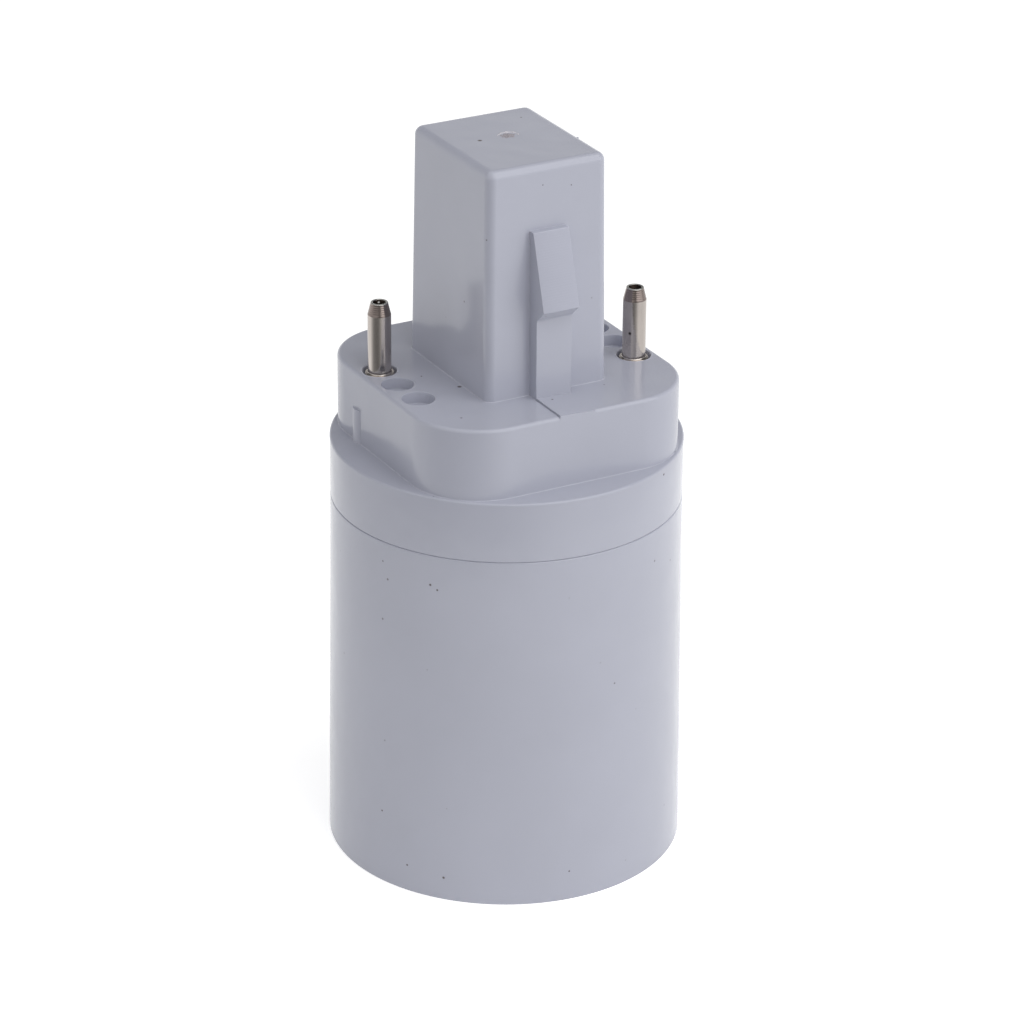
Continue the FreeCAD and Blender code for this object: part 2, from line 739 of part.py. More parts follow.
for side, sign, contact, to_pin, rivet_at in CIRCUITS:
    parts.append(make_pin(f"contact_pin_{side}", sign))
    parts.append(make_pin_solder(f"pin_solder_{side}", sign))
    parts.append(make_tag(f"{contact}_tag", to_pin, rivet_at))
    parts.append(make_lead(f"lead_{contact}", to_pin))
    parts.append(make_tag_solder(f"{contact}_tag_solder", to_pin))

doc.recompute()
failed = [item for item in doc.Objects if {"Invalid", "Error"} & set(item.State)]
if failed:
    reasons = "; ".join(f"{item.Label}: {item.getStatusString()}" for item in failed)
    raise RuntimeError(f"not built: {reasons}")
os.makedirs("parts", exist_ok=True)
for part in parts:
    shape = part.Shape
    if shape.isNull() or not shape.isValid() or len(shape.Solids) != 1:
        raise RuntimeError(f"{part.Label} is not one valid solid")
    shape.exportStep(f"parts/{part.Label}.step")
    box = shape.BoundBox
    print(f"{part.Label}: {shape.Volume:.2f} mm3, z {box.ZMin:.2f} to {box.ZMax:.2f}")
print(f"{len(parts)} sub-parts, {number(POST_TOP):.2f} mm tall, {2 * number(RIM_RADIUS):.2f} mm wide")
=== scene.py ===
# %% [markdown]
# # A lamp socket adapter
#
# The real object is a small pale moulding: the plug cap of a two-pin lamp on top, with its tall key
# post, and a round socket for a screw lamp below. The construction comes packed as a fixed frame, in
# metres, and everything here dresses that frame. Each piece that shows gets a finer surface than the
# construction has, because a render lives from the small rounded edges that catch the light.

# %% Load the frame
import math

import bmesh
import bpy
import numpy as np
from mathutils import Matrix, Vector


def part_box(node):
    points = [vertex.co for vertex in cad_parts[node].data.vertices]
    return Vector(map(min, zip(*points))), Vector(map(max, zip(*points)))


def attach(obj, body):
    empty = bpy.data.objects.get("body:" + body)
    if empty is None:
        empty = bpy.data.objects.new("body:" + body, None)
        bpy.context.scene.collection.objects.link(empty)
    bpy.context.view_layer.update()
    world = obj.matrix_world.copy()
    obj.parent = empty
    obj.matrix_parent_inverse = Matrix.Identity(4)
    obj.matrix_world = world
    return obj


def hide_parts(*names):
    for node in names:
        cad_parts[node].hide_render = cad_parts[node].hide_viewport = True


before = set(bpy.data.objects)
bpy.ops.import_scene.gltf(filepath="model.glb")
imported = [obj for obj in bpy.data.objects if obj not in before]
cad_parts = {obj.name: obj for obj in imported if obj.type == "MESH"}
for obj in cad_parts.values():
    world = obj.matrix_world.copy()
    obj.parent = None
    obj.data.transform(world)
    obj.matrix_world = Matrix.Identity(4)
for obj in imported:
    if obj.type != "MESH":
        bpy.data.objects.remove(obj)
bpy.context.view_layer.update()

MM = 0.001
BODY = "adapter"
TONGUE = "tongue"
scene = bpy.context.scene
print("nodes in the frame:", len(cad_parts))

# %% [markdown]
# Levels and radii are read from the frame wherever a node's box gives them, so that a finer piece
# always lands on the solid that it stands for. The rest are real sizes in millimetres.

# %% Levels and radii, in millimetres


def box_mm(node):
    """The lowest and highest corners of a node, in millimetres, as two arrays."""
    low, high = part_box(node)
    return np.array(low) / MM, np.array(high) / MM


housing_high = box_mm("socket_housing")[1]
cap_low, cap_high = box_mm("base_cap")
pin_low, pin_high = box_mm("contact_pin_right")
sleeve_low, sleeve_high = box_mm("thread_sleeve")

SEAM = housing_high[2]
RIM_RADIUS = housing_high[0]
RING_RADIUS = cap_high[0]
SPIGOT_FOOT = cap_low[2]
POST_TOP = cap_high[2]
PIN_TIP = pin_high[2]
PIN_X, PIN_Y = (pin_low[:2] + pin_high[:2]) / 2
RING_TOP = SEAM + 6.0
PLATFORM_TOP = RING_TOP + 7.1
print(f"seam {SEAM:.1f}, platform {PLATFORM_TOP:.1f}, post {POST_TOP:.1f}, pins at {PIN_X:.2f} {PIN_Y:.2f}")

# %% [markdown]
# ## Surfaces from arrays
#
# Almost every form here is a stack of rings: a profile turned about an axis, or an outline carried up
# a wall. A ring is one row of a grid of points, and neighbouring rows are joined by quads. Working out
# the whole grid as one array keeps the code short and puts every point exactly where its formula says.

# %% A solid from a stack of rings
MERGE = 1e-4 * MM


def ring_faces(rows, columns):
    """Quads between neighbouring rings: point (i, j) has the number i * columns + j."""
    i, j = np.meshgrid(np.arange(rows - 1), np.arange(columns), indexing="ij")
    after = (j + 1) % columns
    low, high = i * columns, (i + 1) * columns
    return np.stack([low + j, low + after, high + after, high + j], -1).reshape(-1, 4).tolist()


def mesh_object(name, points, faces):
    """An object of points in millimetres, its doubles merged and its faces turned outwards."""
    mesh = bpy.data.meshes.new(name)
    mesh.from_pydata((np.asarray(points) * MM).tolist(), [], faces)
    tidy = bmesh.new()
    tidy.from_mesh(mesh)
    bmesh.ops.remove_doubles(tidy, verts=tidy.verts, dist=MERGE)
    bmesh.ops.recalc_face_normals(tidy, faces=tidy.faces)
    tidy.to_mesh(mesh)
    tidy.free()
    made = bpy.data.objects.new(name, mesh)
    scene.collection.objects.link(made)
    return made


def grid(x, y, z):
    """Points from three arrays that are stretched to one shape."""
    return np.stack(np.broadcast_arrays(x, y, z), -1)


def solid_of_rings(name, rings, loop=False):
    """A closed solid from rings of shape (rows, columns, 3).

    The last ring joins the first one when loop is set, and otherwise both end rings get a flat face.
    """
    if loop:
        rings = np.concatenate([rings, rings[:1]])
    rows, columns = rings.shape[:2]
    faces = ring_faces(rows, columns)
    if not loop:
        faces.append(list(range(columns))[::-1])
        faces.append(list(range((rows - 1) * columns, rows * columns)))
    return mesh_object(name, rings.reshape(-1, 3), faces)


# %% Rounded corners of a profile


def unit(vectors):
    """Vectors scaled to the length 1."""
    return vectors / np.linalg.norm(vectors, axis=-1, keepdims=True)


def rounded(corners, radii, steps=6):
    """A closed profile whose corners are arcs, as an array of points.

    An arc of radius r fits a corner of half angle h when its centre lies r / sin(h) along the
    bisector and its ends lie r / tan(h) along the two sides. The points between the ends are spread
    evenly in angle.
    """
    points = np.asarray(corners, float)
    radius = np.broadcast_to(np.asarray(radii, float), len(points))[:, None]
    back = unit(np.roll(points, 1, 0) - points)
    ahead = unit(np.roll(points, -1, 0) - points)
    half = np.arccos(np.clip((back * ahead).sum(1), -1, 1))[:, None] / 2
    centre = points + unit(back + ahead) * radius / np.sin(half)
    start = points + back * radius / np.tan(half) - centre
    end = points + ahead * radius / np.tan(half) - centre
    sweep = (math.pi - 2 * half)[..., None]
    step = np.linspace(0, 1, steps)[None, :, None]
    arc = np.sin((1 - step) * sweep) * start[:, None] + np.sin(step * sweep) * end[:, None]
    return (centre[:, None] + arc / np.sin(sweep)).reshape(-1, 2)


def turned(name, profile, segments=160, centre=(0, 0), loop=True):
    """A profile of (radius, level) points turned about an upright axis through centre."""
    angle = np.linspace(0, 2 * np.pi, segments, endpoint=False)
    radius, level = np.asarray(profile, float).T[..., None]
    x, y = centre[0] + radius * np.cos(angle), centre[1] + radius * np.sin(angle)
    return solid_of_rings(name, grid(x, y, level), loop)


# %% A rounded rectangle carried up a wall


def carried(name, levels, half_x, half_y, corner, arc_steps=12):
    """A solid whose outline is a rounded rectangle at each level.

    Each quadrant's corner arc has its centre at (half_x - corner, half_y - corner), so a smaller
    half and a smaller corner together make an offset of the outline, which is how a rounded top edge
    closes in.
    """
    levels, half_x, half_y, corner = np.broadcast_arrays(levels, half_x, half_y, corner)
    quadrant = np.arange(4)[:, None] * (np.pi / 2)
    angle = quadrant + np.linspace(0, np.pi / 2, arc_steps)[None, :]
    side_x = np.sign(np.cos(quadrant + np.pi / 4))
    side_y = np.sign(np.sin(quadrant + np.pi / 4))
    cx, cy = (half_x - corner)[:, None, None], (half_y - corner)[:, None, None]
    x = side_x * cx + corner[:, None, None] * np.cos(angle)
    y = side_y * cy + corner[:, None, None] * np.sin(angle)
    return solid_of_rings(name, grid(x, y, levels[:, None, None]).reshape(len(levels), -1, 3))


# %% [markdown]
# ## Joining and cutting
#
# The cap is one moulding, so its forms are joined into one surface and its holes are cut from it. The
# exact boolean solver does that on closed solids. A narrow bevel then breaks the sharp edges that are
# left, and weighted normals keep the flat faces flat beside it.

# %% Booleans and edges


def settle(item):
    """Replaces an object's mesh by what its modifiers make of it."""
    graph = bpy.context.evaluated_depsgraph_get()
    finished = bpy.data.meshes.new_from_object(item.evaluated_get(graph))
    item.modifiers.clear()
    item.data = finished
    return item


def combine(item, tools, operation):
    """Joins tools to an item (UNION) or cuts them from it (DIFFERENCE), and removes the tools."""
    for tool in tools:
        step = item.modifiers.new(tool.name, "BOOLEAN")
        step.solver = "EXACT"
        step.operation = operation
        step.object = tool
    settle(item)
    for tool in tools:
        bpy.data.objects.remove(tool)
    return item


def break_edges(item, width, steps=2, angle=50):
    """Rounds every edge that turns by more than an angle, by a narrow bevel."""
    bevel = item.modifiers.new("edges", "BEVEL")
    bevel.width = width * MM
    bevel.segments = steps
    bevel.limit_method = "ANGLE"
    bevel.angle_limit = math.radians(angle)
    bevel.use_clamp_overlap = False
    return settle(item)


def soften(item, angle=32):
    """Smooth shading apart from edges sharper than an angle, with flat faces kept flat."""
    item.data.shade_smooth()
    item.data.set_sharp_from_angle(angle=math.radians(angle))
    weigh = item.modifiers.new("weigh", "WEIGHTED_NORMAL")
    weigh.keep_sharp = True
    weigh.weight = 80
    return settle(item)


# %% [markdown]
# ## The cap
#
# The cap is one hollow moulding: a round ring with a spigot below, a rounded square platform and a
# tapered key post. The ring is turned, the platform and the post are outlines carried upwards. Their
# top edges close in along a quarter circle and their feet flare out along a small one, as the radii
# of a mould do, because these small curves are what catches the light.

# %% Sizes of the cap
RING_EDGE = 0.22
SEAM_EDGE = 0.16
SPIGOT_RADIUS = 15.1
SPIGOT_BORE = 13.4
PLATFORM_HALF = 13.85
PLATFORM_CORNER = 7.0
PLATFORM_EDGE = 0.36
PLATFORM_WALL = 1.3
PLATE_FOOT = PLATFORM_TOP - 2.2
CAVITY_FOOT = RING_TOP - 2.0
POST_FOOT_HALF = np.array([6.45, 7.95])
POST_TOP_HALF = np.array([6.25, 7.6])
POST_CORNER = 0.9
POST_EDGE = 0.8
POST_WALL = 1.7
FOOT_RADIUS = 0.1
SUNK = 1.0


def wall_levels(foot, top, edge, flare=FOOT_RADIUS, steps=8):
    """Levels and insets of a wall with a flared foot and a rounded top edge.

    The flare is a concave quarter circle above the foot, where the inset is negative; the edge is a
    convex quarter circle below the top.
    """
    turn = np.linspace(0, np.pi / 2, steps)
    levels = [[foot - SUNK], foot + flare * (1 - np.cos(turn)), top - edge + edge * np.sin(turn)]
    insets = [[-flare], flare * (np.sin(turn) - 1), edge * (1 - np.cos(turn))]
    return np.concatenate(levels), np.concatenate(insets)


def block(name, low, high):
    """A box between two corners, as two square rings."""
    (x0, y0, z0), (x1, y1, z1) = low, high
    square = np.array([(x0, y0), (x1, y0), (x1, y1), (x0, y1)])
    rings = [np.column_stack([square, np.full(4, level)]) for level in (z0, z1)]
    return solid_of_rings(name, np.array(rings, float))


def cylinder(name, place, radius, low, high, foot_edge=0.0, segments=64):
    """An upright cylinder; foot_edge rounds its lower edge, as the floor of a moulded hole is."""
    turn = np.linspace(0, np.pi / 2, 5) if foot_edge else np.zeros(1)
    foot = [
        (radius - foot_edge * (1 - math.sin(t)), low + foot_edge * (1 - math.cos(t))) for t in turn
    ]
    return turned(name, [(0, low), *foot, (radius, high), (0, high)], segments, place, loop=False)


# %% [markdown]
# The ring is a turned profile that starts and ends on the axis, so that it is solid for now.
#
# Two low ribs stand on the platform's sides beside the pins. Each is an upright rod whose axis lies
# inside the wall, so that only a slice of it stands out. The photo shows such a rib bright on its
# left side and dark on its right side, with its top seen from above.

# %% Ring, platform and post
ring_profile = rounded(
    [
        (0.5, SPIGOT_FOOT),
        (SPIGOT_RADIUS, SPIGOT_FOOT),
        (SPIGOT_RADIUS, SEAM),
        (RING_RADIUS, SEAM),
        (RING_RADIUS, RING_TOP),
        (0.5, RING_TOP),
    ],
    [0.1, 0.2, 0.05, SEAM_EDGE, RING_EDGE, 0.1],
)
ring_profile = np.concatenate([[(0, SPIGOT_FOOT)], ring_profile[6:-6], [(0, RING_TOP)]])
cap = turned("base_cap_moulding", ring_profile, segments=256, loop=False)

level, inset = wall_levels(RING_TOP, PLATFORM_TOP, PLATFORM_EDGE)
half = PLATFORM_HALF - inset
platform = carried("platform", level, half, half, PLATFORM_CORNER - inset, arc_steps=24)

SIDE_RIB = {"radius": 1.2, "reach": 0.3, "y": -4.4, "top": RING_TOP + 3.4}
side_ribs = []
for side in (-1, 1):
    place = (side * (PLATFORM_HALF + SIDE_RIB["reach"] - SIDE_RIB["radius"]), side * SIDE_RIB["y"])
    low, high = RING_TOP - SUNK, SIDE_RIB["top"]
    side_ribs.append(cylinder("side_rib", place, SIDE_RIB["radius"], low, high, segments=128))
combine(platform, side_ribs, "UNION")

level, inset = wall_levels(PLATFORM_TOP, POST_TOP, POST_EDGE)
taper = np.clip((level - PLATFORM_TOP) / (POST_TOP - PLATFORM_TOP), 0, 1)
post_half = POST_FOOT_HALF + taper[:, None] * (POST_TOP_HALF - POST_FOOT_HALF) - inset[:, None]
post = carried("post", level, post_half[:, 0], post_half[:, 1], POST_CORNER - inset)
combine(cap, [platform, post], "UNION")
print("cap with platform and post:", len(cap.data.polygons), "faces")

# %% [markdown]
# The latch ribs catch the holder's spring clip. Each is an outline in the (y, z) plane pushed out to
# both sides of the middle. The ramp keeps the fine ridges that the cutter left in the mould, as a
# small sine added square to the slope, and the notch has a rounded inner corner.

# %% Latch ribs
LATCH_LEFT, LATCH_RIGHT = -1.96, 1.8
LATCH_LEDGE = POST_TOP - 6.25
LATCH_KNEE = (-10.54, POST_TOP - 13.5)
LATCH_NOTCH = (-9.22, POST_TOP - 14.65)
LATCH_LIP_Y = -8.39
LATCH_SUNK = {"back": 0.8, "foot": 0.4}
RIDGE_PITCH = 0.25
RIDGE_HEIGHT = 0.005


def ramp(top, knee):
    """Points down the ramp: top + s (knee - top) plus a ridge sin^2(pi s n) square to it."""
    top, knee = np.array(top), np.array(knee)
    along = knee - top
    length = np.linalg.norm(along)
    ridges = round(length / RIDGE_PITCH)
    share = np.linspace(0, 1, ridges * 6 + 1)[:, None]
    outward = np.array([along[1], -along[0]]) / length
    return top + share * along + RIDGE_HEIGHT * np.sin(np.pi * share * ridges) ** 2 * outward


def latch_rib(name, side):
    """The outline of (y, z) points at both ends of the rib's width, as a solid of two rings."""
    back = -POST_TOP_HALF[1] + LATCH_SUNK["back"]
    foot = PLATFORM_TOP - LATCH_SUNK["foot"]
    top = rounded([(back, LATCH_LEDGE), (LATCH_LIP_Y, LATCH_LEDGE), LATCH_KNEE], [0.01, 0.12, 0.01])
    notch = rounded([LATCH_KNEE, LATCH_NOTCH, (LATCH_NOTCH[0], foot)], [0.05, 0.5, 0.01], steps=10)
    outline = np.concatenate(
        [[(back, foot), (back, LATCH_LEDGE)], top[6:12], ramp(top[11], LATCH_KNEE)[1:], notch[10:20]]
    )
    outline = np.concatenate([outline, [(LATCH_NOTCH[0], foot)]])
    ends = sorted([side * LATCH_LEFT, side * LATCH_RIGHT])
    rings = [np.column_stack([0 * outline[:, 0] + x, side * outline[:, 0], outline[:, 1]]) for x in ends]
    return solid_of_rings(name, np.stack(rings))


combine(cap, [latch_rib("latch_front", 1), latch_rib("latch_back", -1)], "UNION")

# %% [markdown]
# Holes are cylinders cut from the top: a recess round each pin and two blind keying holes beside it.
# The mould's core pins wore at their seats, so a low burr stands round each hole, highest round the
# pins, and it is what glints there. The burrs are a piece of their own, because such thin rings would
# spoil the shading of the cap's flat top. Each latch was shaped by an insert in the mould. The insert
# sat a little deep at its left side, so its patch of the platform is a thin wedge with a sharp front
# edge, and a hairline shows where it met the block. The patch and the hairline are made after the
# bevel, which would round them. The patch stays a hair inside its neighbours' faces, because the
# solver needs faces that don't coincide.

# %% Holes, their burrs and the insert's patch
KEY_HOLE_X = 11.5
KEY_HOLE_PITCH = 3.8
KEY_HOLE_SHIFT = (0.16, -0.1)
PIN_RECESS = (1.64, 0.6, 0.03)       # radius, depth and height of the burr
KEY_HOLE = (1.55, 1.15, 0.02)
HOLE_EDGE = 0.06
BURR_WIDTH = 0.16
INSERT_RISE = 0.17
PATCH = {"back": -8.2, "depth": 0.9, "inside_x": 0.004, "inside_y": 0.006}
HAIRLINE = {"width": 0.07, "depth": 0.06, "ends": (-9.1, -15)}


def burr(name, place, radius, height):
    """A ring whose section is a low arch: level = top + height * sin(pi s) across its width."""
    share = np.linspace(0, 1, 9)
    across = radius + HOLE_EDGE * 0.8 + share * BURR_WIDTH
    arch = np.column_stack([across, PLATFORM_TOP + height * np.sin(np.pi * share)])
    foot = [(across[-1], PLATFORM_TOP - 0.2), (across[0], PLATFORM_TOP - 0.2)]
    return turned(name, np.concatenate([arch, foot]), 64, place)


cutters, burrs = [], []
for side in (-1, 1):
    holes = [
        ((side * PIN_X, side * PIN_Y), PIN_RECESS),
        ((side * (KEY_HOLE_X + KEY_HOLE_SHIFT[0]), side * KEY_HOLE_SHIFT[1]), KEY_HOLE),
        ((side * KEY_HOLE_X, side * KEY_HOLE_PITCH), KEY_HOLE),
    ]
    for place, (radius, depth, height) in holes:
        burrs.append(burr("burr", place, radius, height))
        cutters.append(
            cylinder("hole", place, radius, PLATFORM_TOP - depth, PLATFORM_TOP + 1, foot_edge=0.12)
        )
combine(cap, cutters, "DIFFERENCE")
break_edges(cap, HOLE_EDGE)
insert_patches = []
for side in (-1, 1):
    patch = []
    shy, back, low = PATCH["inside_x"], PATCH["back"], PLATFORM_TOP - PATCH["depth"]
    for x, rise in ((LATCH_LEFT + shy, INSERT_RISE), (LATCH_RIGHT - shy, -shy)):
        front, high = PATCH["inside_y"] - PLATFORM_HALF, PLATFORM_TOP + rise
        section = [(back, low), (front, low), (front, high), (back, high)]
        patch.append([(side * x, side * y, level) for y, level in section])
    insert_patches.append(solid_of_rings("insert_patch", np.array(patch)))
combine(cap, insert_patches, "UNION")
hairlines = []
for side in (-1, 1):
    near, far = sorted([side * end for end in HAIRLINE["ends"]])
    x, half = side * LATCH_LEFT, HAIRLINE["width"] / 2
    low = (x - half, near, PLATFORM_TOP - HAIRLINE["depth"])
    hairlines.append(block("hairline", low, (x + half, far, PLATFORM_TOP + 1)))
combine(cap, hairlines, "DIFFERENCE")
print("cap with its holes:", len(cap.data.polygons), "faces")

hole_burrs = combine(burrs[0], burrs[1:], "UNION")
soften(hole_burrs)
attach(hole_burrs, BODY)

# %% [markdown]
# Below, the cap is hollow with even walls, so that it shrinks evenly in the mould. Two bosses carry
# the pins, and four barbed lugs snap into the housing.

# %% The hollow inside of the cap
LUG = {"root": 14.25, "low": SEAM - 3.0, "high": SEAM - 1.5, "reach": SPIGOT_RADIUS + 0.35, "half": 2.0}


def lug(name, quarter):
    """A wedge that widens upwards from the spigot's wall, turned to one of four sides."""
    turn = Matrix.Rotation(quarter * math.pi / 2, 3, "Z")
    rings = []
    for level, reach in ((LUG["low"], SPIGOT_RADIUS), (LUG["high"], LUG["reach"])):
        sides = [(LUG["root"], -1), (reach, -1), (reach, 1), (LUG["root"], 1)]
        rings.append([turn @ Vector((x, y * LUG["half"], level)) for x, y in sides])
    return solid_of_rings(name, np.array(rings))


combine(cap, [lug(f"lug_{quarter}", quarter) for quarter in range(4)], "UNION")
cavity_half = PLATFORM_HALF - PLATFORM_WALL
cavity_corner = PLATFORM_CORNER - PLATFORM_WALL
core_half = np.array([POST_FOOT_HALF, POST_TOP_HALF]) - POST_WALL
hollows = [
    cylinder("spigot_bore", (0, 0), SPIGOT_BORE, SPIGOT_FOOT - 1, CAVITY_FOOT, segments=160),
    carried("cavity", [CAVITY_FOOT - 0.5, PLATE_FOOT], cavity_half, cavity_half, cavity_corner),
    carried("core", [PLATE_FOOT - 0.5, POST_TOP - 1.8], *core_half.T, 0.3),
]
combine(cap, hollows, "DIFFERENCE")
BOSS = {"half": 1.95, "outer": 13.2, "depth": 3.0, "sunk": 1.1}
PIN_HOLE_RADIUS = 1.42
bosses, pin_holes = [], []
for side in (-1, 1):
    place = (side * PIN_X, side * PIN_Y)
    near, far = sorted([side * (PIN_X - BOSS["half"]), side * BOSS["outer"]])
    low = (near, place[1] - BOSS["half"], PLATE_FOOT - BOSS["depth"])
    high = (far, place[1] + BOSS["half"], PLATE_FOOT + BOSS["sunk"])
    bosses.append(block("boss", low, high))
    pin_holes.append(cylinder("pin_hole", place, PIN_HOLE_RADIUS, pin_low[2] - 1, PLATFORM_TOP - 0.3))
combine(cap, bosses, "UNION")
combine(cap, pin_holes, "DIFFERENCE")
soften(cap)
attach(cap, BODY)
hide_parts("base_cap")
print("hollow cap:", len(cap.data.polygons), "faces")

# %% [markdown]
# Where the sprue was torn off the post's top, it left a low rough scar with a thin raised lip at the
# back. The lip is a tube round the scar whose height follows the angle, so that it sinks into the
# top at the front. The scar is a patch of the same grid kind with a rough height. A nib of flash
# stands on the post's right edge.

# %% The torn gate and the nib
GATE = (0.3, 0.68)
NIB_PLACE = (6.0, -2.35)
NIB_TOP = POST_TOP - 0.09


def torn_lip(name, segments=120, steps=10):
    """A tube round the gate: radius 1.0 + 0.03 sin(3a + 1), height 0.11 (0.1 + sin(a + 0.4)).

    A smaller and quicker wave rides on both, and the height never falls below the top.
    """
    angle = np.linspace(0, 2 * np.pi, segments, endpoint=False)[:, None]
    around = np.linspace(0, 2 * np.pi, steps, endpoint=False)[None, :]
    middle = 1.0 + 0.03 * np.sin(3 * angle + 1) + 0.02 * np.sin(8 * angle)
    height = 0.11 * (0.1 + np.sin(angle + 0.4)) * (1 + 0.35 * np.sin(9 * angle + 2))
    radius = middle + 0.07 * np.cos(around)
    x, y = GATE[0] + radius * np.cos(angle), GATE[1] + 0.86 * radius * np.sin(angle)
    level = POST_TOP - 0.03 + (0.01 + np.clip(height, 0, None)) * np.sin(around)
    return solid_of_rings(name, grid(x, y, level), loop=True)


def torn_scar(name, rows=18, segments=96):
    """A low mound: height 0.06 (1 - s^2) with waves in angle and radius that make it rough."""
    share = np.linspace(1, 0.02, rows)[:, None]
    angle = np.linspace(0, 2 * np.pi, segments, endpoint=False)[None, :]
    rough = 0.03 * np.sin(5 * angle + 9 * share) + 0.025 * np.sin(11 * angle - 14 * share)
    level = 0.06 * (1 - share**2) + rough * np.sin(np.pi * share)
    x = GATE[0] - 0.05 + 0.85 * share * np.cos(angle)
    y = GATE[1] + 0.75 * share * np.sin(angle)
    mound = grid(x, y, POST_TOP - 0.02 + level)
    foot = mound[:1] - [0, 0, 0.1]
    return solid_of_rings(name, np.concatenate([foot, mound]))


gate_lip = torn_lip("torn_gate_lip")
gate_scar = torn_scar("torn_gate_scar")
nib_profile = [(0, NIB_TOP - 0.6), (0.17, NIB_TOP - 0.5), (0.1, NIB_TOP - 0.05), (0, NIB_TOP)]
nib = turned("flash_nib", nib_profile, 24, NIB_PLACE, loop=False)
for item in (gate_lip, gate_scar, nib):
    soften(item, 60)
    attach(item, BODY)

# %% [markdown]
# ## The socket housing
#
# The cup is turned from one profile: up the outside with its draft, over the seam, down the bore and
# round the lip. Its rim has nearly sharp edges, and the edge at the seam is rounded like the cap's,
# so that the two together make the fine dark line. Six ribs inside guide the screw shell.

# %% Housing
BORE = 15.2
LIP_RADIUS = 13.5
LIP = (8.2, 9.6)
RIB = {"inner": 14.05, "half": 0.6, "count": 6}
housing_profile = rounded(
    [
        (BORE, 0),
        (RIM_RADIUS, 0),
        (RING_RADIUS, SEAM),
        (BORE, SEAM),
        (BORE, LIP[1]),
        (LIP_RADIUS, LIP[1]),
        (LIP_RADIUS, LIP[0]),
        (BORE, LIP[0]),
    ],
    [0.4, 0.14, SEAM_EDGE, 0.1, 0.2, 0.3, 0.3, 0.3],
)
housing = turned("socket_housing_moulding", housing_profile, segments=256)


def rib(name, turn):
    """One guiding rib: a bar along the bore's wall from the lip to the carrier."""
    turned_by = Matrix.Rotation(turn, 3, "Z")
    sides = [(RIB["inner"], -1), (BORE + 0.4, -1), (BORE + 0.4, 1), (RIB["inner"], 1)]
    rings = [
        [turned_by @ Vector((x, y * RIB["half"], level)) for x, y in sides]
        for level in (LIP[1] - 0.3, sleeve_high[2])
    ]
    return solid_of_rings(name, np.array(rings))


rib_turn = 2 * math.pi / RIB["count"]
combine(housing, [rib(f"rib_{number}", number * rib_turn) for number in range(RIB["count"])], "UNION")
soften(housing)
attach(housing, BODY)
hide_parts("socket_housing")
print("housing:", len(housing.data.polygons), "faces")

# %% [markdown]
# ## The contact pins
#
# Each pin is turned from tube: a thicker shank whose end shows in the recess, the straight body, a
# cone with the tool's fine rings and a tip whose bore flares out to a thin rim. The solder inside the
# bore is a small dome, and in the left pin the lead's cut end stands up from it.

# %% Pins and their solder
CONE_FOOT = PIN_TIP - 1.22
PIN_RADIUS = 1.125
TIP_RADIUS = 0.83
SHANK_RADIUS = PIN_HOLE_RADIUS
MOUTH_RADIUS = 0.64
BORE_RADIUS = 0.45
PIN_CORNERS = rounded(
    [
        (BORE_RADIUS, pin_low[2]),
        (SHANK_RADIUS, pin_low[2]),
        (SHANK_RADIUS, PLATFORM_TOP - 0.1),
        (PIN_RADIUS, PLATFORM_TOP - 0.1),
        (PIN_RADIUS, CONE_FOOT),
        (TIP_RADIUS, PIN_TIP),
        (MOUTH_RADIUS, PIN_TIP),
        (BORE_RADIUS, PIN_TIP - 0.4),
    ],
    [0.02, 0.05, 0.12, 0.12, 0.04, 0.08, 0.06, 0.1],
)
RINGS = 5
RING_DEPTH = 0.018


def with_turning_rings(profile):
    """Puts the tool's rings on the cone: its radius loses depth * sin^2(pi n s) along the cone."""
    share = np.linspace(0.12, 0.9, RINGS * 12 + 1)
    level = CONE_FOOT + share * (PIN_TIP - CONE_FOOT)
    rings = np.sin(np.pi * RINGS * (share - share[0]) / (share[-1] - share[0])) ** 2
    radius = PIN_RADIUS + share * (TIP_RADIUS - PIN_RADIUS) - RING_DEPTH * rings
    below = 5 * 6        # the five corners below the cone have six points each
    return np.concatenate([profile[:below], np.column_stack([radius, level]), profile[below:]])


PIN_PROFILE = with_turning_rings(PIN_CORNERS)
SOLDER_LEVEL = PIN_TIP - 0.62
SOLDER_DOME = 0.2
WIRE_RADIUS = 0.15
WIRE_LEVEL = PIN_TIP - 0.22
WIRE_FOOT = SOLDER_LEVEL - 0.3
WIRE_SHIFT = (0.08, 0.28)


def solder_bead(name, centre):
    """A cylinder whose top is a dome: its level falls with the square of the radius."""
    radius = np.linspace(0, BORE_RADIUS, 10)
    dome = SOLDER_LEVEL + SOLDER_DOME * (1 - (radius / BORE_RADIUS) ** 2)
    profile = [(0, SOLDER_LEVEL - 0.6), (BORE_RADIUS, SOLDER_LEVEL - 0.6)]
    profile += list(zip(radius[::-1], dome[::-1]))
    return turned(name, profile, 40, centre, loop=False)


def wire_end(place):
    """The cut end of the lead in the left pin: an upright stub with a round top in the bore."""
    turn = np.linspace(0, np.pi / 2, 7)
    dome = np.column_stack([WIRE_RADIUS * np.cos(turn), WIRE_LEVEL + WIRE_RADIUS * np.sin(turn)])
    profile = np.concatenate([[(0, WIRE_FOOT), (WIRE_RADIUS, WIRE_FOOT)], dome])
    return turned("wire_end", profile, 24, np.add(place, WIRE_SHIFT), loop=False)


pins, beads = [], []
for name, side in (("right", 1), ("left", -1)):
    place = (side * PIN_X, side * PIN_Y)
    pin = soften(turned(f"pin_{name}", PIN_PROFILE, 96, place))
    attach(pin, BODY)
    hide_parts(f"contact_pin_{name}")
    pins.append(pin)
    bead = solder_bead(f"solder_bead_{name}", place)
    if side < 0:
        combine(bead, [wire_end(place)], "UNION")
    soften(bead)
    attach(bead, BODY)
    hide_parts(f"pin_solder_{name}")
    beads.append(bead)

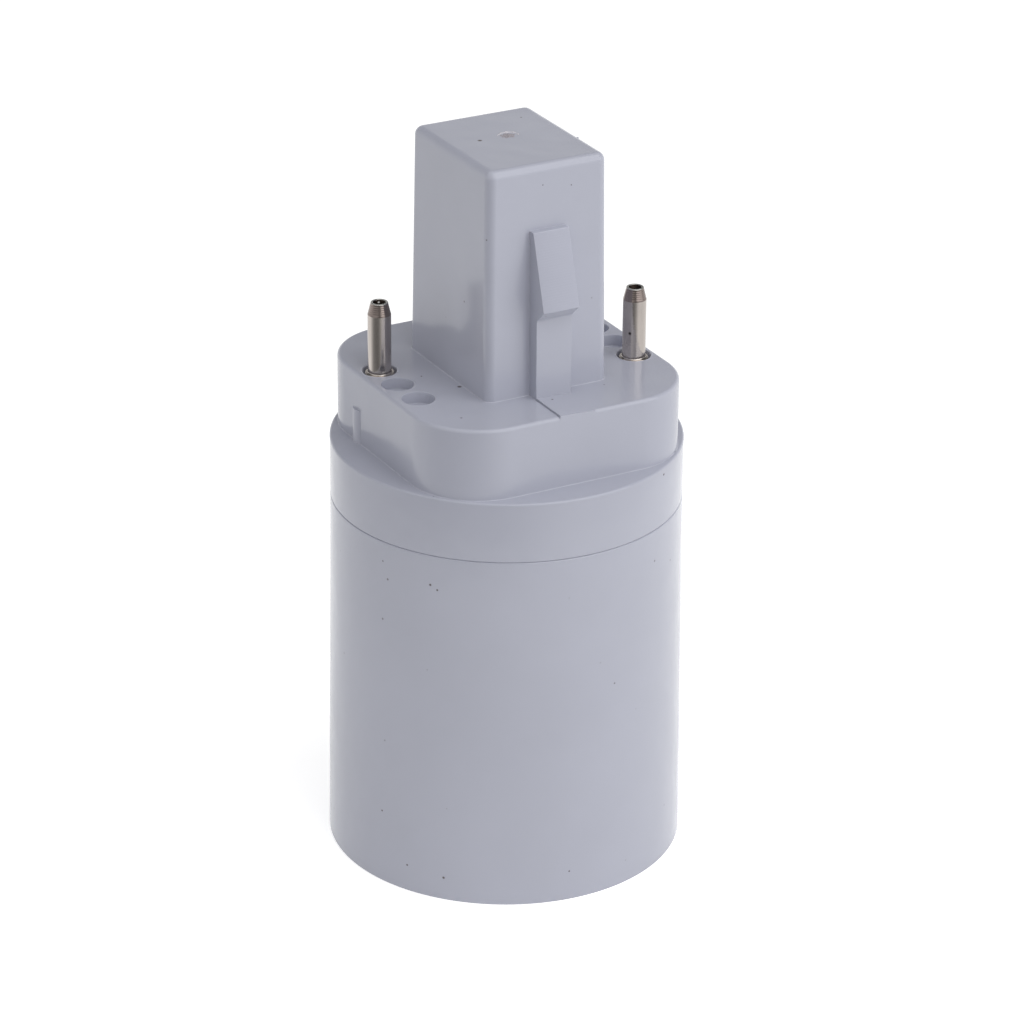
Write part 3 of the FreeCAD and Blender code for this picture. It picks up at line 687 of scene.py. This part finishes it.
# %% [markdown]
# ## The screw shell
#
# A screw shell is thin sheet with a round thread rolled into it: the wall's section is a wave of
# equal arcs, and turning the wave while it climbs makes the helix. The inside is that wave, and the
# outside is the same wave moved out by the sheet's thickness. At both ends the wave dies out.

# %% The thread as a surface
THREAD_PITCH = 3.629
THREAD_MEAN = 12.8
THREAD_DEPTH = 1.1
SHEET = 0.35
SHELL_LOW, SHELL_HIGH = sleeve_low[2], sleeve_high[2]


def thread_wave(phase):
    """A round thread over one pitch: two tangent arcs that meet on the mean line.

    phase is in turns. With depth d and half pitch w, each arc has the radius (w^2 + d^2) / (4 d).
    """
    half_pitch = THREAD_PITCH / 2
    arc = (half_pitch**2 + THREAD_DEPTH**2) / (4 * THREAD_DEPTH)
    across = (phase % 1.0) * THREAD_PITCH
    crest = across < half_pitch
    offset = np.where(crest, across - half_pitch / 2, across - 1.5 * half_pitch)
    height = np.sqrt(arc**2 - offset**2) - (arc - THREAD_DEPTH / 2)
    return np.where(crest, height, -height)


def shell_surface(name, rows=240, segments=160):
    """Radius = mean + wave(level / pitch - angle / turn), faded in and out at both ends."""
    level = np.linspace(SHELL_LOW, SHELL_HIGH, rows)[:, None]
    angle = np.linspace(0, 2 * np.pi, segments, endpoint=False)[None, :]
    fade = np.clip(np.minimum(level - SHELL_LOW, SHELL_HIGH - level) / 1.2, 0, 1)
    fade = fade * fade * (3 - 2 * fade)
    wave = fade * thread_wave((level / THREAD_PITCH) - angle / (2 * np.pi))
    inside, outside = [
        grid(radius * np.cos(angle), radius * np.sin(angle), level)
        for radius in (THREAD_MEAN + wave, THREAD_MEAN + wave + SHEET)
    ]
    return solid_of_rings(name, np.concatenate([inside, outside[::-1]]), loop=True)


# %% [markdown]
# Three tabs are folded in at the shell's top, and a rivet holds each to the carrier. They are plan
# outlines with rounded inner corners, joined to the shell and pierced.

# %% Riveting tabs
TO_RIGHT = math.atan2(PIN_Y, PIN_X)
RIVET_RADIUS = 1.0
PIERCING_RADIUS = RIVET_RADIUS + 0.05
TAB = {"inner": 7.6, "outer": 13.0, "half": 2.8, "corner": 1.4, "hole": 9.4, "count": 3}


def swung(x, y, turn):
    """Plan positions turned about the axis by an angle."""
    return x * math.cos(turn) - y * math.sin(turn), x * math.sin(turn) + y * math.cos(turn)


def tab(name, turn):
    """A plate between two levels whose outline is a rectangle with two rounded corners."""
    inner, outer, half = TAB["inner"], TAB["outer"], TAB["half"]
    corners = [(inner, -half), (outer, -half), (outer, half), (inner, half)]
    x, y = swung(*rounded(corners, [TAB["corner"], 0.05, 0.05, TAB["corner"]]).T, turn)
    return solid_of_rings(name, grid(x, y, np.array([[SHELL_HIGH - SHEET], [SHELL_HIGH]])))


shell = shell_surface("screw_shell")
turns = [TO_RIGHT + math.pi + number * 2 * math.pi / TAB["count"] for number in range(TAB["count"])]
combine(shell, [tab("tab", turn) for turn in turns], "UNION")
piercings = [
    cylinder("piercing", swung(TAB["hole"], 0, turn), PIERCING_RADIUS, SHELL_HIGH - 1, SHELL_HIGH + 1)
    for turn in turns
]
combine(shell, piercings, "DIFFERENCE")
soften(shell)
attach(shell, BODY)
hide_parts("thread_sleeve")
print("screw shell:", len(shell.data.polygons), "faces")

# %% [markdown]
# ## Rivets
#
# A rivet's heads are domes that the riveting tool formed. Its place and its length come from the
# frame, so it always clamps what the construction put between its heads.

# %% Rivets with domed heads
RIVET_HEAD = 0.5


def rivet(node):
    """Half ellipses at both ends: radius R sin t, level end + H (1 - cos t)."""
    low, high = box_mm(node)
    head = (high[0] - low[0]) / 2
    turn = np.linspace(0, np.pi / 2, 9)
    dome = np.column_stack([head * np.sin(turn), RIVET_HEAD * (1 - np.cos(turn))])
    foot = dome + [0, low[2]]
    top = [0, high[2]] + dome[::-1] * [1, -1]
    shank = [(RIVET_RADIUS, low[2] + RIVET_HEAD), (RIVET_RADIUS, high[2] - RIVET_HEAD)]
    profile = np.concatenate([foot, shank, top])
    return turned(f"{node}_headed", profile, 48, (low[:2] + high[:2]) / 2, loop=False)


RIVET_NODES = ["centre_rivet", "sleeve_rivet_tag", "sleeve_rivet_back", "sleeve_rivet_front"]
rivets = []
for node in RIVET_NODES:
    headed = soften(rivet(node))
    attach(headed, BODY)
    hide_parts(node)
    rivets.append(headed)
print("rivets:", len(rivets))

# %% [markdown]
# ## The spring tongue
#
# The centre contact is a strip of spring bronze, riveted at its foot and folded so that its nose
# presses on the lamp. It is a section carried along a path of straight legs and bends, and its free
# end is rounded. It rides on the body that the hinge turns.

# %% The strip along its path
STRIP_WIDTH, STRIP_THICKNESS = 5.0, 0.4
STRIP_LEGS = [(4.0, 0), (1.5, 26), (3.9, 0), (1.6, -66), (0.8, 0)]
STRIP_START = 9.2
STRIP_LEVEL = box_mm("centre_contact")[1][2] - STRIP_THICKNESS / 2
TIP_ROUND = 1.6
STRIP_EDGE = 0.06
TONGUE_RIVET = 7.0
TONGUE_HOLE = 1.4


def strip_path():
    """Middle points and headings: a leg is (length, 0) or a bend (radius, degrees of turn)."""
    place, heading = np.array([STRIP_START, STRIP_LEVEL]), math.pi
    points, headings = [], []
    for size, turn in STRIP_LEGS:
        share = np.linspace(0, 1, 13)[:, None]
        ahead = np.array([math.cos(heading), math.sin(heading)])
        if turn == 0:
            stretch, facing = place + share * size * ahead, heading + 0 * share
        else:
            side = math.copysign(1, turn)
            facing = heading + share * math.radians(turn)
            centre = place + side * size * np.array([-ahead[1], ahead[0]])
            stretch = centre + side * size * np.hstack([np.sin(facing), -np.cos(facing)])
        points.append(stretch)
        headings.append(facing[:, 0])
        place, heading = stretch[-1], facing[-1, 0]
    return np.concatenate(points), np.concatenate(headings)


def spring_tongue(name):
    """Rings of four corners: the middle, half a width to both sides, half a thickness along the normal."""
    points, heading = strip_path()
    run = np.concatenate([[0], np.cumsum(np.linalg.norm(np.diff(points, axis=0), axis=1))])
    to_tip = np.clip((run - run[-1] + TIP_ROUND) / TIP_ROUND, 0, 0.97)
    half = STRIP_WIDTH / 2 - TIP_ROUND * (1 - np.sqrt(1 - to_tip**2))
    keep = np.concatenate([[True], np.diff(run) > 1e-6])
    points, heading, half = points[keep], heading[keep], half[keep]
    normal = np.column_stack([-np.sin(heading), np.cos(heading)]) * STRIP_THICKNESS / 2
    rings = []
    for side, face in ((-1, -1), (1, -1), (1, 1), (-1, 1)):
        out, level = (points + face * normal).T
        rings.append(grid(*swung(out, side * half, TO_RIGHT), level))
    return solid_of_rings(name, np.stack(rings, 1))


tongue = spring_tongue("spring_tongue")
place = swung(TONGUE_RIVET, 0, TO_RIGHT)
hole = cylinder("hole", place, TONGUE_HOLE, STRIP_LEVEL - 1, STRIP_LEVEL + 1)
combine(tongue, [hole], "DIFFERENCE")
break_edges(tongue, STRIP_EDGE)
soften(tongue)
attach(tongue, TONGUE)
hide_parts("centre_contact")
print("tongue:", len(tongue.data.polygons), "faces")

# %% [markdown]
# ## Finishes
#
# Every finish is a node material that reads Object coordinates, so that its pattern stays on the
# surface when the camera or a joint moves.

# %% Helpers for node materials


def new_material(name, color, roughness, metallic=0.0, **sockets):
    """A Principled material, with its node tree, shader and coordinate output."""
    made = bpy.data.materials.new(name)
    made.use_nodes = True
    nodes = made.node_tree.nodes
    shader = nodes["Principled BSDF"]
    shader.inputs["Base Color"].default_value = (*color, 1)
    shader.inputs["Roughness"].default_value = roughness
    shader.inputs["Metallic"].default_value = metallic
    for socket, value in sockets.items():
        shader.inputs[socket.replace("_", " ")].default_value = value
    place = nodes.new("ShaderNodeTexCoord")
    return made, made.node_tree, shader, place.outputs["Object"]


def add(tree, kind, links=None, **settings):
    """A node with its settings; links maps an input's name or number to an output or a value."""
    node = tree.nodes.new(kind)
    for key, value in settings.items():
        setattr(node, key, value)
    for socket, source in (links or {}).items():
        if hasattr(source, "links"):
            tree.links.new(source, node.inputs[socket])
        else:
            node.inputs[socket].default_value = source
    return node


def noise(tree, place, scale, detail=2.0):
    """The value of a noise texture; scale counts its clouds per metre."""
    return add(tree, "ShaderNodeTexNoise", {"Vector": place, "Scale": scale, "Detail": detail}).outputs[0]


def ranged(tree, value, low, high, from_low=0.3, from_high=0.7, smooth=False):
    """Stretches a value from one range to another; the default range is that of most noise."""
    kind = "SMOOTHSTEP" if smooth else "LINEAR"
    links = {0: value, 1: from_low, 2: from_high, 3: low, 4: high}
    return add(tree, "ShaderNodeMapRange", links, interpolation_type=kind).outputs[0]


def combined(tree, operation, first, second):
    """One arithmetic step on two values."""
    return add(tree, "ShaderNodeMath", {0: first, 1: second}, operation=operation).outputs[0]


def scaled(tree, color, factor):
    """A colour whose three values are multiplied by a factor."""
    links = {0: color, "Scale": factor}
    return add(tree, "ShaderNodeVectorMath", links, operation="SCALE").outputs[0]


def srgb(red, green, blue):
    """A colour given as it looks on a screen, 0 to 255, in the linear values that shaders take."""
    share = np.array([red, green, blue]) / 255
    return tuple(np.where(share <= 0.04045, share / 12.92, ((share + 0.055) / 1.055) ** 2.4).tolist())


# %% [markdown]
# The plastic is smooth and glossy, but no moulding is perfectly flat: a slow wave of a few
# hundredths of a millimetre makes reflections wobble, and handling leaves patches that are a little
# duller. Specks of dust and burnt resin lie in it. Some come from a cell texture, whose cells each
# hold one point, and a few stand at named places.

# %% Moulded plastic
MARKS = [
    (-2.7, 0.7, POST_TOP, 0.3),
    (3.8, 4.6, POST_TOP, 0.13),
    (-0.6, -7.65, 70.0, 0.09),
    (2.4, -7.65, 69.5, 0.09),
    (-6.8, -3.1, PLATFORM_TOP, 0.3),
    (-8.8, 0.8, PLATFORM_TOP, 0.13),
    (-9.2, -13.8, 49.2, 0.15),
    (-13.6, -10.2, 33.3, 0.18),
    (-13.2, -10.8, 32.9, 0.15),
    (-16.1, -5.4, 34.3, 0.13),
    (-16.4, -5.5, 7.7, 0.15),
    (-15.2, -8.4, 2.8, 0.15),
    (-12.9, -11.6, 2.4, 0.2),
    (-2.2, -17.2, 3.1, 0.14),
]


def mixed_color(tree, share, first, second):
    """Two colours, mixed by a share from 0 to 1."""
    links = {0: share, 6: first, 7: second}
    return add(tree, "ShaderNodeMix", links, data_type="RGBA").outputs[2]


def speck_mask(tree, place, scale, size, share):
    """1 inside small dots: a cell's point counts if its random colour is over 1 - share."""
    cells = add(tree, "ShaderNodeTexVoronoi", {"Vector": place, "Scale": scale}, feature="F1")
    near = ranged(tree, cells.outputs["Distance"], 1, 0, size * 0.5, size)
    pick = add(tree, "ShaderNodeSeparateColor", {0: cells.outputs["Color"]})
    chosen = ranged(tree, pick.outputs[0], 0, 1, 1 - share, 1)
    return combined(tree, "MULTIPLY", near, chosen)


def named_marks(tree, place, marks, specks):
    """Adds a soft dot for each (x, y, z, radius) in millimetres to a mask of specks."""
    for x, y, z, radius in marks:
        away = add(
            tree, "ShaderNodeVectorMath", {0: place, 1: (x * MM, y * MM, z * MM)}, operation="DISTANCE"
        ).outputs["Value"]
        mark = ranged(tree, away, 1, 0, radius * MM * 0.3, radius * MM, smooth=True)
        specks = combined(tree, "MAXIMUM", specks, mark)
    return specks


def plastic(name, color, gloss=(0.12, 0.2), wave=0.00007, marks=()):
    """Moulded plastic: faint mottling, slow waves, duller patches and dark specks."""
    made, tree, shader, place = new_material(name, color, 0.2, IOR=1.5)
    tint = scaled(tree, color, ranged(tree, noise(tree, place, 60, 4), 0.97, 1.03))
    specks = named_marks(tree, place, marks, speck_mask(tree, place, 330, 0.05, 0.9))
    dirt = mixed_color(tree, specks, tint, (*srgb(92, 84, 84), 1))
    tree.links.new(dirt, shader.inputs["Base Color"])
    smear = noise(tree, place, 130, 6)
    tree.links.new(ranged(tree, smear, *gloss), shader.inputs["Roughness"])
    slow = add(tree, "ShaderNodeBump", {"Height": noise(tree, place, 280, 1), "Distance": wave})
    links = {"Height": noise(tree, place, 1400, 3), "Distance": 0.000004, "Normal": slow.outputs[0]}
    peel = add(tree, "ShaderNodeBump", links)
    tree.links.new(peel.outputs[0], shader.inputs["Normal"])
    return made


# %% [markdown]
# Metals differ in colour, polish and grain. The grain is a noise that is squeezed along one
# direction: squeezed in x and y it makes level turning lines, squeezed in z it makes upright
# scratches. Tarnish darkens the colour in soft clouds.

# %% Metals


def metal(
    name, color, gloss, grain=(1, 1, 1), relief=0.000004, tarnish=(0.75, 1.1), streaks=(1, 1, 1), marks=()
):
    """Plated or bare metal with tarnish in clouds or streaks and a fine grain in one direction."""
    made, tree, shader, place = new_material(name, color, gloss[0], 1.0)
    drawn = add(tree, "ShaderNodeMapping", {"Vector": place, "Scale": streaks}).outputs[0]
    cloud = noise(tree, drawn, 420, 5)
    tint = scaled(tree, color, ranged(tree, cloud, *tarnish))
    if marks:
        tint = mixed_color(tree, named_marks(tree, place, marks, 0.0), tint, (*srgb(50, 46, 44), 1))
    tree.links.new(tint, shader.inputs["Base Color"])
    tree.links.new(ranged(tree, cloud, gloss[1], gloss[0]), shader.inputs["Roughness"])
    squeezed = add(tree, "ShaderNodeMapping", {"Vector": place, "Scale": grain}).outputs[0]
    bump = add(tree, "ShaderNodeBump", {"Height": noise(tree, squeezed, 6000), "Distance": relief})
    tree.links.new(bump.outputs[0], shader.inputs["Normal"])
    return made


def dress(item, material):
    """Gives every face of an object one material."""
    item.data.materials.clear()
    item.data.materials.append(material)


# %% [markdown]
# A pin has four finishes on one surface: bright plating on its body, a cone that the tool cut whose
# darker colour is a painted dark reflection, a bore painted dark as shade, and a rim that the solder
# wetted, whose whiter tin is partly a painted highlight. Each face gets the number of its finish from
# where its middle lies.

# %% Four finishes on a pin
# The rim's whiter tin finish is partly a painted highlight.
TINNED_RIM_HIGHLIGHT_DEPTH = 0.06


def face_values(item, what):
    """A vector of every face, such as its centre or its normal, as an array of shape (count, 3)."""
    values = np.empty(len(item.data.polygons) * 3)
    item.data.polygons.foreach_get(what, values)
    return values.reshape(-1, 3)


def dress_faces(item, materials, finish):
    """Gives an object several materials, and each face the one whose number finish holds."""
    item.data.materials.clear()
    for material in materials:
        item.data.materials.append(material)
    item.data.polygons.foreach_set("material_index", finish.astype(int).tolist())


def dress_pin(item):
    """Finish 1 on the cone (painted dark reflection), 2 inside the bore (painted shade), 3 on the tinned rim
    (partly a painted highlight) and 0 elsewhere.
    """
    middle = face_values(item, "center") / MM
    centre = (middle[:, :2].min(0) + middle[:, :2].max(0)) / 2
    radius = np.linalg.norm(middle[:, :2] - centre, axis=1)
    level = middle[:, 2]
    finish = np.zeros(len(level), int)
    finish[(level > CONE_FOOT) & (level < PIN_TIP - TINNED_RIM_HIGHLIGHT_DEPTH) & (radius > MOUTH_RADIUS)] = 1
    finish[(radius < MOUTH_RADIUS + 0.02) & (level < PIN_TIP - 0.02)] = 2
    # The rim's whiter tin is partly a painted highlight.
    finish[(radius > MOUTH_RADIUS - 0.05) & (level > PIN_TIP - TINNED_RIM_HIGHLIGHT_DEPTH)] = 3
    dress_faces(item, [nickel, cone_nickel_painted_dark, painted_bore_shade, tin], finish)


# %% [markdown]
# The cutter's ridges make the latch ramps duller than the rest of the cap, and their colour is a
# little darker as painted shade, which keeps the tilted ramps from catching more key light than the
# face. Their faces are the ones near the middle that slope outwards and a little up.

# %% Two finishes on the cap
RAMP_START = -LATCH_NOTCH[0] - 0.9
RAMP_SLOPE = {"least": 0.1, "most": 0.5, "sideways": 0.1}


def dress_cap(item):
    """Finish 1 on faces of the latch ramps and 0 elsewhere."""
    x, y, level = (face_values(item, "center") / MM).T
    sideways, _, rise = face_values(item, "normal").T
    in_reach = (np.abs(x) < -LATCH_LEFT) & (np.abs(y) > RAMP_START)
    in_height = (level > LATCH_KNEE[1]) & (level < LATCH_LEDGE)
    sloping = (rise > RAMP_SLOPE["least"]) & (rise < RAMP_SLOPE["most"])
    upright = np.abs(sideways) < RAMP_SLOPE["sideways"]
    dress_faces(item, [moulding, ridged_moulding_painted_shade], in_reach & in_height & sloping & upright)


# %% The finishes of this object
PALE_BLUE_GREY = srgb(176, 178, 191)
moulding = plastic("pale_moulding", PALE_BLUE_GREY, marks=MARKS)
# The ramps' colour is darker than the moulding's as painted shade.
ridged_moulding_painted_shade = plastic("ridged_moulding_painted_shade", srgb(169, 171, 185), gloss=(0.45, 0.6))
torn_plastic = plastic("torn_plastic", srgb(206, 203, 208), gloss=(0.3, 0.45))
scar_plastic = plastic("scar_plastic", srgb(160, 154, 160), gloss=(0.35, 0.5))
PIN_MARK = (10.8, -4.57, 52.0, 0.22)
nickel = metal(
    "nickel_plate",
    srgb(202, 194, 188),
    (0.09, 0.2),
    grain=(0.06, 0.06, 1),
    streaks=(1, 1, 0.25),
    marks=[PIN_MARK],
)
# The cone is painted darker than the plating: a painted dark reflection.
cone_nickel_painted_dark = metal("cone_nickel_painted_dark", srgb(148, 136, 131), (0.1, 0.2), grain=(0.06, 0.06, 1))
# The bore's dark brown is painted shade in the hollow.
painted_bore_shade = metal("bore_painted_shade", srgb(52, 44, 40), (0.35, 0.5))
tin = metal("soft_solder", srgb(205, 204, 200), (0.2, 0.4))
shell_plate = metal("shell_plate", srgb(200, 195, 184), (0.14, 0.3), grain=(0.1, 0.1, 1))
brass = metal("brass", srgb(208, 172, 104), (0.18, 0.35), tarnish=(0.6, 1.1))
tinned = metal("tinned_brass", srgb(204, 196, 170), (0.25, 0.4))
copper = metal("tinned_copper", srgb(206, 150, 118), (0.25, 0.4))
carrier_plastic = plastic("carrier_plastic", srgb(222, 219, 208), gloss=(0.3, 0.45))

for item in (housing, nib, hole_burrs):
    dress(item, moulding)
dress(gate_lip, torn_plastic)
dress(gate_scar, scar_plastic)
dress_cap(cap)
for item in beads:
    dress(item, tin)
for item in rivets:
    dress(item, brass)
dress(shell, shell_plate)
dress(tongue, brass)
for item in pins:
    dress_pin(item)
CARRIED_OVER = {
    "contact_carrier": carrier_plastic,
    "centre_tag": tinned,
    "sleeve_tag": tinned,
    "lead_centre": copper,
    "lead_sleeve": copper,
    "centre_tag_solder": tin,
    "sleeve_tag_solder": tin,
}
for node, material in CARRIED_OVER.items():
    dress(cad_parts[node], material)

# %% [markdown]
# ## Studio
#
# The adapter stands on a white sheet before a white backdrop, in a room that is dark behind the
# camera. The world carries the room: a white band round the horizon with a dark gap on the camera's
# side, which draws the dark middle of the pins and of every rounded edge, a grey ceiling and a pale
# wall on the left. For the camera the world and the sheet are lifted to pure white, and mirrors see
# the band and the sheet as white too, while the sheet still takes the object's shadow.

# %% White sheet


def glow_paths(tree):
    """1 for rays from the camera and for those that mirrors and glass send on."""
    path = add(tree, "ShaderNodeLightPath")
    mirrored = combined(
        tree, "MAXIMUM", path.outputs["Is Glossy Ray"], path.outputs["Is Transmission Ray"]
    )
    return path.outputs["Is Camera Ray"], mirrored


def sheet_material():
    """A matt white that glows for the camera and for mirrors, and still takes a shadow."""
    made, tree, shader, _ = new_material("white_sheet", (0.9, 0.9, 0.9), 0.9)
    camera_ray, mirrored = glow_paths(tree)
    glow = combined(tree, "MULTIPLY", combined(tree, "MAXIMUM", camera_ray, mirrored), SHEET_GLOW)
    shader.inputs["Emission Color"].default_value = (1, 1, 1, 1)
    tree.links.new(glow, shader.inputs["Emission Strength"])
    return made


SHEET_RADIUS = 100.0
SHEET_LEVEL = -0.00002
SHEET_GLOW = 0.55
angle = np.linspace(0, 2 * np.pi, 128, endpoint=False)
x, y = SHEET_RADIUS * np.cos(angle), SHEET_RADIUS * np.sin(angle)
edge = np.column_stack([x, y, np.full_like(angle, SHEET_LEVEL)])
floor = mesh_object("white_sheet", edge, [list(range(128))])
dress(floor, sheet_material())

# %% World


def direction(azimuth, elevation):
    """A unit vector; azimuth 0 faces the ribbed side and grows towards +X, in degrees."""
    azimuth, elevation = math.radians(azimuth), math.radians(elevation)
    flat = math.cos(elevation)
    return Vector((math.sin(azimuth) * flat, -math.cos(azimuth) * flat, math.sin(elevation)))


BACKDROP = 1.11
DARK_FRONT = 0.17
CEILING = 0.6
LEFT_WALL = 0.6
HORIZON_FADE = (0.09, 0.57)
CEILING_FADE = (0.57, 0.97)
world = bpy.data.worlds.new("studio")
scene.world = world
world.use_nodes = True
sky = world.node_tree
outwards = add(sky, "ShaderNodeTexCoord").outputs["Generated"]
rise = add(sky, "ShaderNodeSeparateXYZ", {0: outwards}).outputs[2]


def toward(azimuth, elevation, inner, outer):
    """1 within inner degrees of a direction, 0 beyond outer degrees and smooth between."""
    facing = add(
        sky, "ShaderNodeVectorMath", {0: outwards, 1: direction(azimuth, elevation)}, operation="DOT_PRODUCT"
    ).outputs["Value"]
    near, far = math.cos(math.radians(inner)), math.cos(math.radians(outer))
    return ranged(sky, facing, 0, 1, far, near, smooth=True)


camera_ray, mirrored = glow_paths(sky)
horizon = ranged(sky, rise, 1, 0, *HORIZON_FADE)
backdrop = ranged(sky, mirrored, BACKDROP, 1, 0, 1)
round_the_sheet = ranged(sky, toward(-55, 0, 0, 72), backdrop, DARK_FRONT, 0, 1)
ceiling = ranged(sky, rise, 0, CEILING, *CEILING_FADE)
wall = combined(sky, "MULTIPLY", toward(-70, 35, 10, 55), LEFT_WALL)
room = combined(sky, "MULTIPLY", horizon, round_the_sheet)
for part in (ceiling, wall):
    room = combined(sky, "ADD", room, part)
strength = combined(sky, "MAXIMUM", camera_ray, room)
sky.nodes["Background"].inputs["Color"].default_value = (1, 1, 1, 1)
sky.links.new(strength, sky.nodes["Background"].inputs["Strength"])

# %% Soft light


def soft_light(name, azimuth, elevation, distance, size, power):
    """A square area light at a distance in metres that faces the middle of the adapter."""
    middle = Vector((0, 0, 0.036))
    place = middle + distance * direction(azimuth, elevation)
    lamp = bpy.data.lights.new(name, "AREA")
    lamp.size = size
    lamp.energy = power
    made = bpy.data.objects.new(name, lamp)
    scene.collection.objects.link(made)
    aim = (middle - place).to_track_quat("-Z", "Y")
    made.matrix_world = Matrix.Translation(place) @ aim.to_matrix().to_4x4()


soft_light("key", 24, 45, 0.5, 0.62, 1.86)

# %% [markdown]
# The camera stands where the photographer's stood: a long lens about 41 cm away, 24.8 degrees above
# the horizon and 28.8 degrees to the left of the ribbed face.

# %% Camera
AZIMUTH, ELEVATION, ROLL = -28.797, 24.814, math.radians(0.48)
CAMERA_PLACE = Vector((-0.179011, -0.326844, 0.206006))
LENS = 149.09
backwards = direction(AZIMUTH, ELEVATION)
level_right = direction(AZIMUTH + 90, 0)
level_up = backwards.cross(level_right)
right = level_right * math.cos(ROLL) + level_up * math.sin(ROLL)
up = backwards.cross(right)
camera_data = bpy.data.cameras.new("camera")
camera_data.lens = LENS
camera_data.sensor_width = 36
camera_data.sensor_fit = "HORIZONTAL"
camera = bpy.data.objects.new("camera", camera_data)
scene.collection.objects.link(camera)
camera.matrix_world = Matrix.Translation(CAMERA_PLACE) @ Matrix((right, up, backwards)).transposed().to_4x4()
scene.camera = camera
scene.view_settings.view_transform = "Standard"
